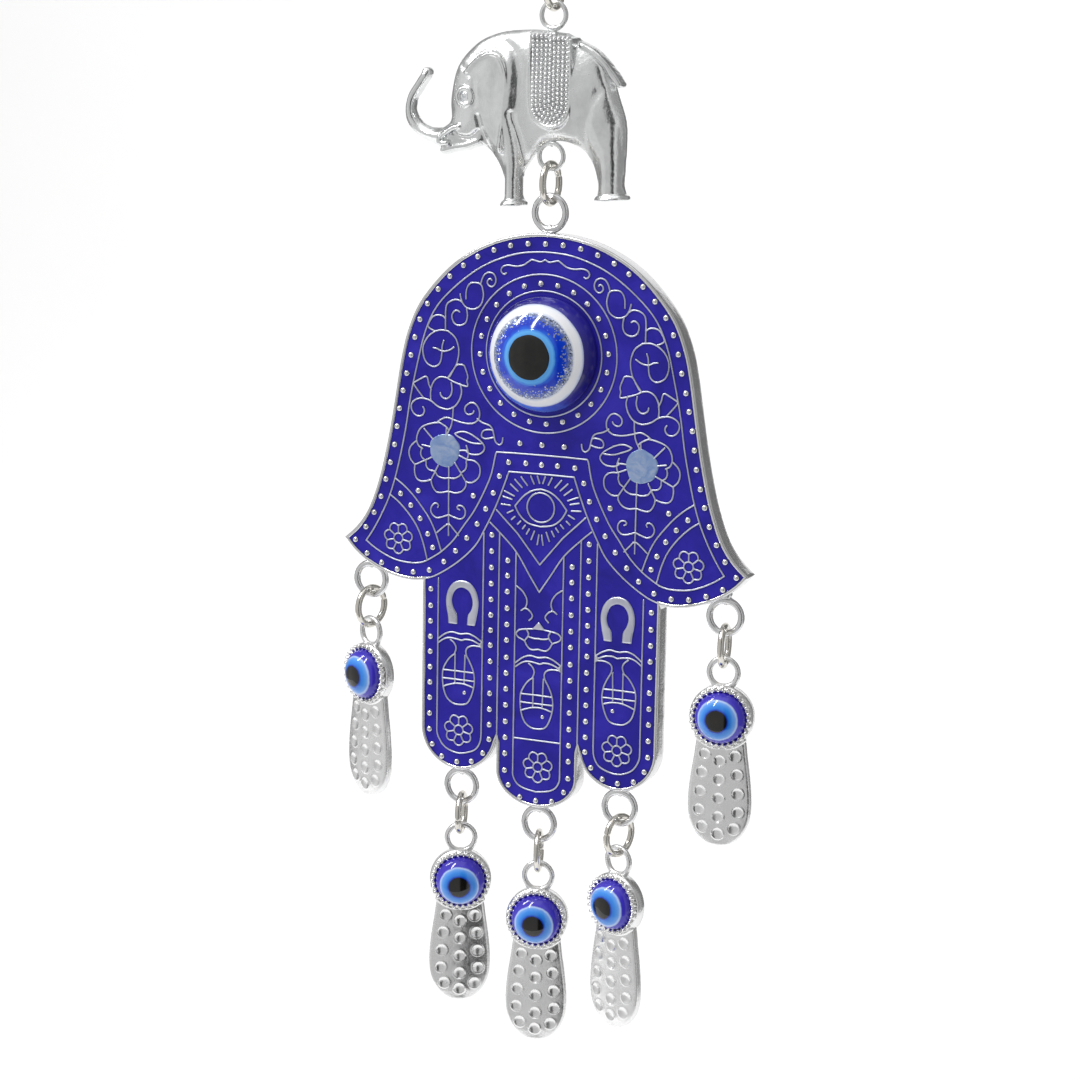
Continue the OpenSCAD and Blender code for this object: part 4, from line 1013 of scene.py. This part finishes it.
def surface_net(F):
    """Smooth mesh of the level F = 0, in grid steps."""
    ins = F < 0
    corners = [(i, j, k) for i in (0, 1) for j in (0, 1) for k in (0, 1)]
    n = [s - 1 for s in F.shape]
    cnt = sum(ins[i:n[0] + i, j:n[1] + j, k:n[2] + k].astype(np.int8) for i, j, k in corners)
    cells = np.argwhere((cnt > 0) & (cnt < 8))
    index = np.full(n, -1)
    index[tuple(cells.T)] = np.arange(len(cells))
    pos, hits = np.zeros((len(cells), 3)), np.zeros(len(cells))
    for a in corners:
        for axis in range(3):
            if a[axis]:
                continue
            c = list(a)
            c[axis] = 1
            fa, fb = F[tuple((cells + a).T)], F[tuple((cells + c).T)]
            x = (fa < 0) != (fb < 0)
            t = np.where(x, fa / np.where(fa == fb, 1, fa - fb), 0)
            p = np.array(a, float)[None] + t[:, None] * (np.array(c, float) - a)[None]
            pos[x] += p[x]
            hits[x] += 1
    pos = cells + pos / hits[:, None]
    faces = []
    for axis in range(3):
        o1, o2 = [k for k in range(3) if k != axis]
        lo = [slice(None)] * 3
        hi = [slice(None)] * 3
        lo[axis], hi[axis] = slice(0, F.shape[axis] - 1), slice(1, None)
        cross = np.argwhere(ins[tuple(lo)] != ins[tuple(hi)])
        cross = cross[(cross[:, o1] > 0) & (cross[:, o2] > 0) & (cross[:, o1] < n[o1]) & (cross[:, o2] < n[o2])]
        quad = []
        for s1, s2 in ((1, 1), (0, 1), (0, 0), (1, 0)):
            c = cross.copy()
            c[:, o1] -= s1
            c[:, o2] -= s2
            quad.append(index[tuple(c.T)])
        q = np.stack(quad, 1)
        flip = ins[tuple(cross.T)] ^ (axis == 1)
        q[flip] = q[flip][:, ::-1]
        faces.append(q[(q >= 0).all(1)])
    return pos, np.vstack(faces)


pos, quads = surface_net(F)
pts = np.stack([gx[0] + pos[:, 0] * step, ys[0] + pos[:, 1] * step, gz[0] + pos[:, 2] * step + EV], 1)
# relax the mesh a little, which takes out the grid's steps
ed = np.unique(np.sort(np.vstack([quads[:, [0, 1]], quads[:, [1, 2]], quads[:, [2, 3]], quads[:, [3, 0]]]), 1), axis=0)
deg = np.bincount(ed.ravel(), minlength=len(pts))[:, None]
for w in (0.55, 0.55, -0.45, 0.5, 0.5, -0.42):
    acc = np.zeros_like(pts)
    np.add.at(acc, ed[:, 0], pts[ed[:, 1]])
    np.add.at(acc, ed[:, 1], pts[ed[:, 0]])
    pts = pts + w * (acc / deg - pts)
b = Build()
b.add(pts, quads.tolist())
# the two loops
cast_loop(b, 0, ELOOP_TOP, -1, ELOOP_R, 0.9)
cast_loop(b, 0, ELOOP_LOW, 1, ELOOP_R, 0.9)
b.object("elephant_cast", "elephant", [ELEPHANT_METAL], ["elephant_body"], slot="cast_metal")
# beads on the blanket, in four rows that follow its round end
# under the beads lies a dark patina sheet of wider, lower domes, which also paints the shade in the gaps between them
b, gap_shade = Build(), Build()
for inset_ in (0.95, 1.83, 2.71, 3.59):
    wr = 4.42 - inset_
    row = [(0.75 - wr, 58.9), (0.75 - wr, 46.4)] + [(0.75 - wr * math.cos(a), 46.4 - wr * math.sin(a)) for a in np.linspace(0.1, math.pi - 0.1, 14)] + [(0.75 + wr, 46.4), (0.75 + wr, 58.5)]
    for u0, v in resample(row, 0.84):
        k = int(np.argmin((U - u0) ** 2 + (V - v) ** 2))
        b.dome(u0, -H[k] + 0.1, v + EV, 0.38, 0.44, 12, 4)
        gap_shade.dome(u0, -H[k] + 0.06, v + EV, 0.62, 0.12, 10, 2)
for v in np.arange(58.9, 45.9, -0.84):
    k = int(np.argmin((U - 0.75) ** 2 + (V - v) ** 2))
    b.dome(0.75, -H[k] + 0.1, v + EV, 0.38, 0.44, 12, 4)
    gap_shade.dome(0.75, -H[k] + 0.06, v + EV, 0.62, 0.12, 10, 2)
b.object("elephant_blanket_beads", "elephant", [ELEPHANT_METAL], slot="cast_metal")
gap_shade.object("elephant_blanket_gap_shade", "elephant", [GAP_PATINA_AND_SHADE], slot="cast_metal")
# the stone: a brilliant-cut top set in its socket
b = Build()
c = (-16.7, EV + 47.6)
nf = 12
def facets(t, k, r, y):
    return r, y
rows = []
for r, y, off in ((1.28, -2.35, 0), (1.28, -2.55, 0), (1.08, -2.86, 0.5), (0.70, -3.12, 0), (0.62, -3.14, 0)):
    th = (np.arange(nf) + off) * 2 * math.pi / nf
    rows.append(np.stack([c[0] + r * np.cos(th), np.full(nf, y), c[1] + r * np.sin(th)], 1))
b.grid(np.array(rows), wrap_v=True)
b.add(rows[-1], [tuple(range(nf))])
b.add(rows[0], [tuple(range(nf))])
CLEAR = Mat("clear_stone", Roughness=0.12, Metallic=0.55, Coat_Weight=1.0, Coat_Roughness=0.01)
CLEAR.set("Base Color", CLEAR.ramp(CLEAR.noise(1500, 2), [(0.3, lin(190, 196, 200)), (0.5, lin(236, 238, 240)), (0.7, (1, 1, 1))]))
b.object("elephant_stone", "elephant", [CLEAR.m], ["elephant_eye_stone"], smooth=False, slot="clear_stone")

# ---------------------------------------------------------------- stage
PAPER = Mat("paper", Roughness=0.9)
PAPER.set("Base Color", PAPER.ramp(PAPER.noise(3, 2), [(0.3, (0.93, 0.93, 0.93)), (0.7, (0.95, 0.95, 0.95))]))
PAPER.b.inputs["Emission Color"].default_value = (1, 1, 1, 1)
PAPER.b.inputs["Emission Strength"].default_value = 0.30
# a paper sweep: pale floor that curves up into a wall, just wider than the view
me = bpy.data.meshes.new("backdrop")
prof = [(-0.22, -0.42), (0.2, -0.42), (0.7, -0.42), (1.0, -0.42)] + [(1.0 + 0.4 * math.sin(a), -0.02 - 0.4 * math.cos(a)) for a in np.linspace(0.1, math.pi / 2, 14)] + [(1.4, 0.3), (1.4, 0.9)]
edges = [(-0.60 - 0.55 * (y + 0.22) / 1.62, 0.60 - 0.35 * (y + 0.22) / 1.62) for y, z in prof]
vv = [(x0 + (x1 - x0) * j / 8, y, z) for (y, z), (x0, x1) in zip(prof, edges) for j in range(9)]
ff = [(k * 9 + j, k * 9 + j + 1, (k + 1) * 9 + j + 1, (k + 1) * 9 + j) for k in range(len(prof) - 1) for j in range(8)]
me.from_pydata(vv, [], ff)
me.polygons.foreach_set("use_smooth", [True] * len(me.polygons))
me.materials.append(PAPER.m)
floor = bpy.data.objects.new("backdrop", me)
scene_c = bpy.context.scene.collection
scene_c.objects.link(floor)

scene = bpy.context.scene
w = bpy.data.worlds.new("studio")
scene.world = w
w.use_nodes = True
t = w.node_tree
bg = t.nodes["Background"]


def wn(kind, **props):
    n = t.nodes.new("ShaderNode" + kind)
    for k, v in props.items():
        setattr(n, k, v)
    return n


def wmath(op, a, b_=None, c=None):
    n = wn("Math", operation=op)
    for s, v in zip(n.inputs, (a, b_, c)):
        if v is None:
            continue
        if isinstance(v, bpy.types.NodeSocket):
            t.links.new(v, s)
        else:
            s.default_value = v
    return n.outputs[0]


tc = wn("TexCoord")
sp = wn("SeparateXYZ")
t.links.new(tc.outputs["Generated"], sp.inputs[0])
az = wmath("MULTIPLY", wmath("ARCTAN2", sp.outputs[0], wmath("MULTIPLY", sp.outputs[1], -1.0)), 57.2958)   # 0 is the camera's side, + towards +X
el = wmath("MULTIPLY", wmath("ARCSINE", sp.outputs[2]), 57.2958)


def band(v, centre, half, edge):
    """1 inside centre +- half, falling to 0 over edge."""
    m = wn("MapRange", interpolation_type="SMOOTHSTEP")
    t.links.new(wmath("ABSOLUTE", wmath("SUBTRACT", v, centre)), m.inputs[0])
    m.inputs[1].default_value, m.inputs[2].default_value = half, half + edge
    m.inputs[3].default_value, m.inputs[4].default_value = 1, 0
    return m.outputs[0]


# a pale studio: bright panels left, right and above, dark cloth at the sides and a dark room behind the camera
def add(level, amount, *masks):
    m = masks[0]
    for k in masks[1:]:
        m = wmath("MULTIPLY", m, k)
    return wmath("ADD", level, wmath("MULTIPLY", m, amount))


def cut(level, amount, *masks):
    m = masks[0]
    for k in masks[1:]:
        m = wmath("MULTIPLY", m, k)
    return wmath("MULTIPLY", level, wmath("SUBTRACT", 1.0, wmath("MULTIPLY", m, amount)))


level = wmath("ADD", 0.58, 0.0)
level = add(level, 0.12, band(az, -62, 20, 16), band(el, 14, 40, 16))     # left panel
level = add(level, 0.25, band(az, 62, 10, 10), band(el, 10, 34, 14))      # right panel
level = add(level, 0.18, band(el, 90, 26, 18))                             # overhead
level = cut(level, 0.93, band(az, 37, 9, 10), band(el, -2, 38, 12))       # dark room beside the camera
level = cut(level, 0.45, band(az, 96, 16, 22), band(el, 0, 60, 15))
level = cut(level, 0.45, band(az, -112, 14, 22), band(el, 0, 60, 15))
level = cut(level, 0.65, band(az, 156, 20, 12), band(el, 0, 60, 15))
t.links.new(level, bg.inputs["Strength"])
bg.inputs["Color"].default_value = (1, 1, 1, 1)


def softbox(name, az_, el_, dist, w_, h_, watts):
    a, e = math.radians(az_), math.radians(el_)
    target = Vector((0, 0, -0.11))
    back = Vector((math.sin(a) * math.cos(e), -math.cos(a) * math.cos(e), math.sin(e)))
    L = bpy.data.lights.new(name, "AREA")
    L.shape, L.size, L.size_y, L.energy = "RECTANGLE", w_, h_, watts
    o = bpy.data.objects.new(name, L)
    scene.collection.objects.link(o)
    o.location = target + back * dist
    o.rotation_mode = "QUATERNION"
    o.rotation_quaternion = (-back).to_track_quat("-Z", "Y")
    return o


softbox("strip_left", -66, 46, 1.1, 0.09, 0.5, 3.6)
softbox("strip_mid", -28, 52, 1.1, 0.09, 0.5, 3.6)
softbox("top", 0, 80, 1.2, 1.0, 0.8, 1.2)

# ---------------------------------------------------------------- camera, at the photograph's viewpoint
yaw, pit, roll = math.radians(23.981), math.radians(10.446), math.radians(-1.028)
fwd = Vector((-math.sin(yaw) * math.cos(pit), math.cos(yaw) * math.cos(pit), -math.sin(pit)))
right = Vector((math.cos(yaw), math.sin(yaw), 0))
down = fwd.cross(right)
r2 = right * math.cos(roll) + down * math.sin(roll)
d2 = -right * math.sin(roll) + down * math.cos(roll)
cam = bpy.data.objects.new("camera", bpy.data.cameras.new("camera"))
scene.collection.objects.link(cam)
cam.data.lens, cam.data.sensor_width = 88.44, 36
cam.data.clip_start, cam.data.clip_end = 0.01, 20
M = Matrix.Identity(4)
for k, axis in enumerate((r2, -d2, -fwd)):
    for j in range(3):
        M[j][k] = axis[j]
M.translation = (0.20266, -0.45766, -0.03533)
cam.matrix_world = M
scene.camera = cam
scene.view_settings.view_transform = "Standard"

bpy.context.view_layer.update()
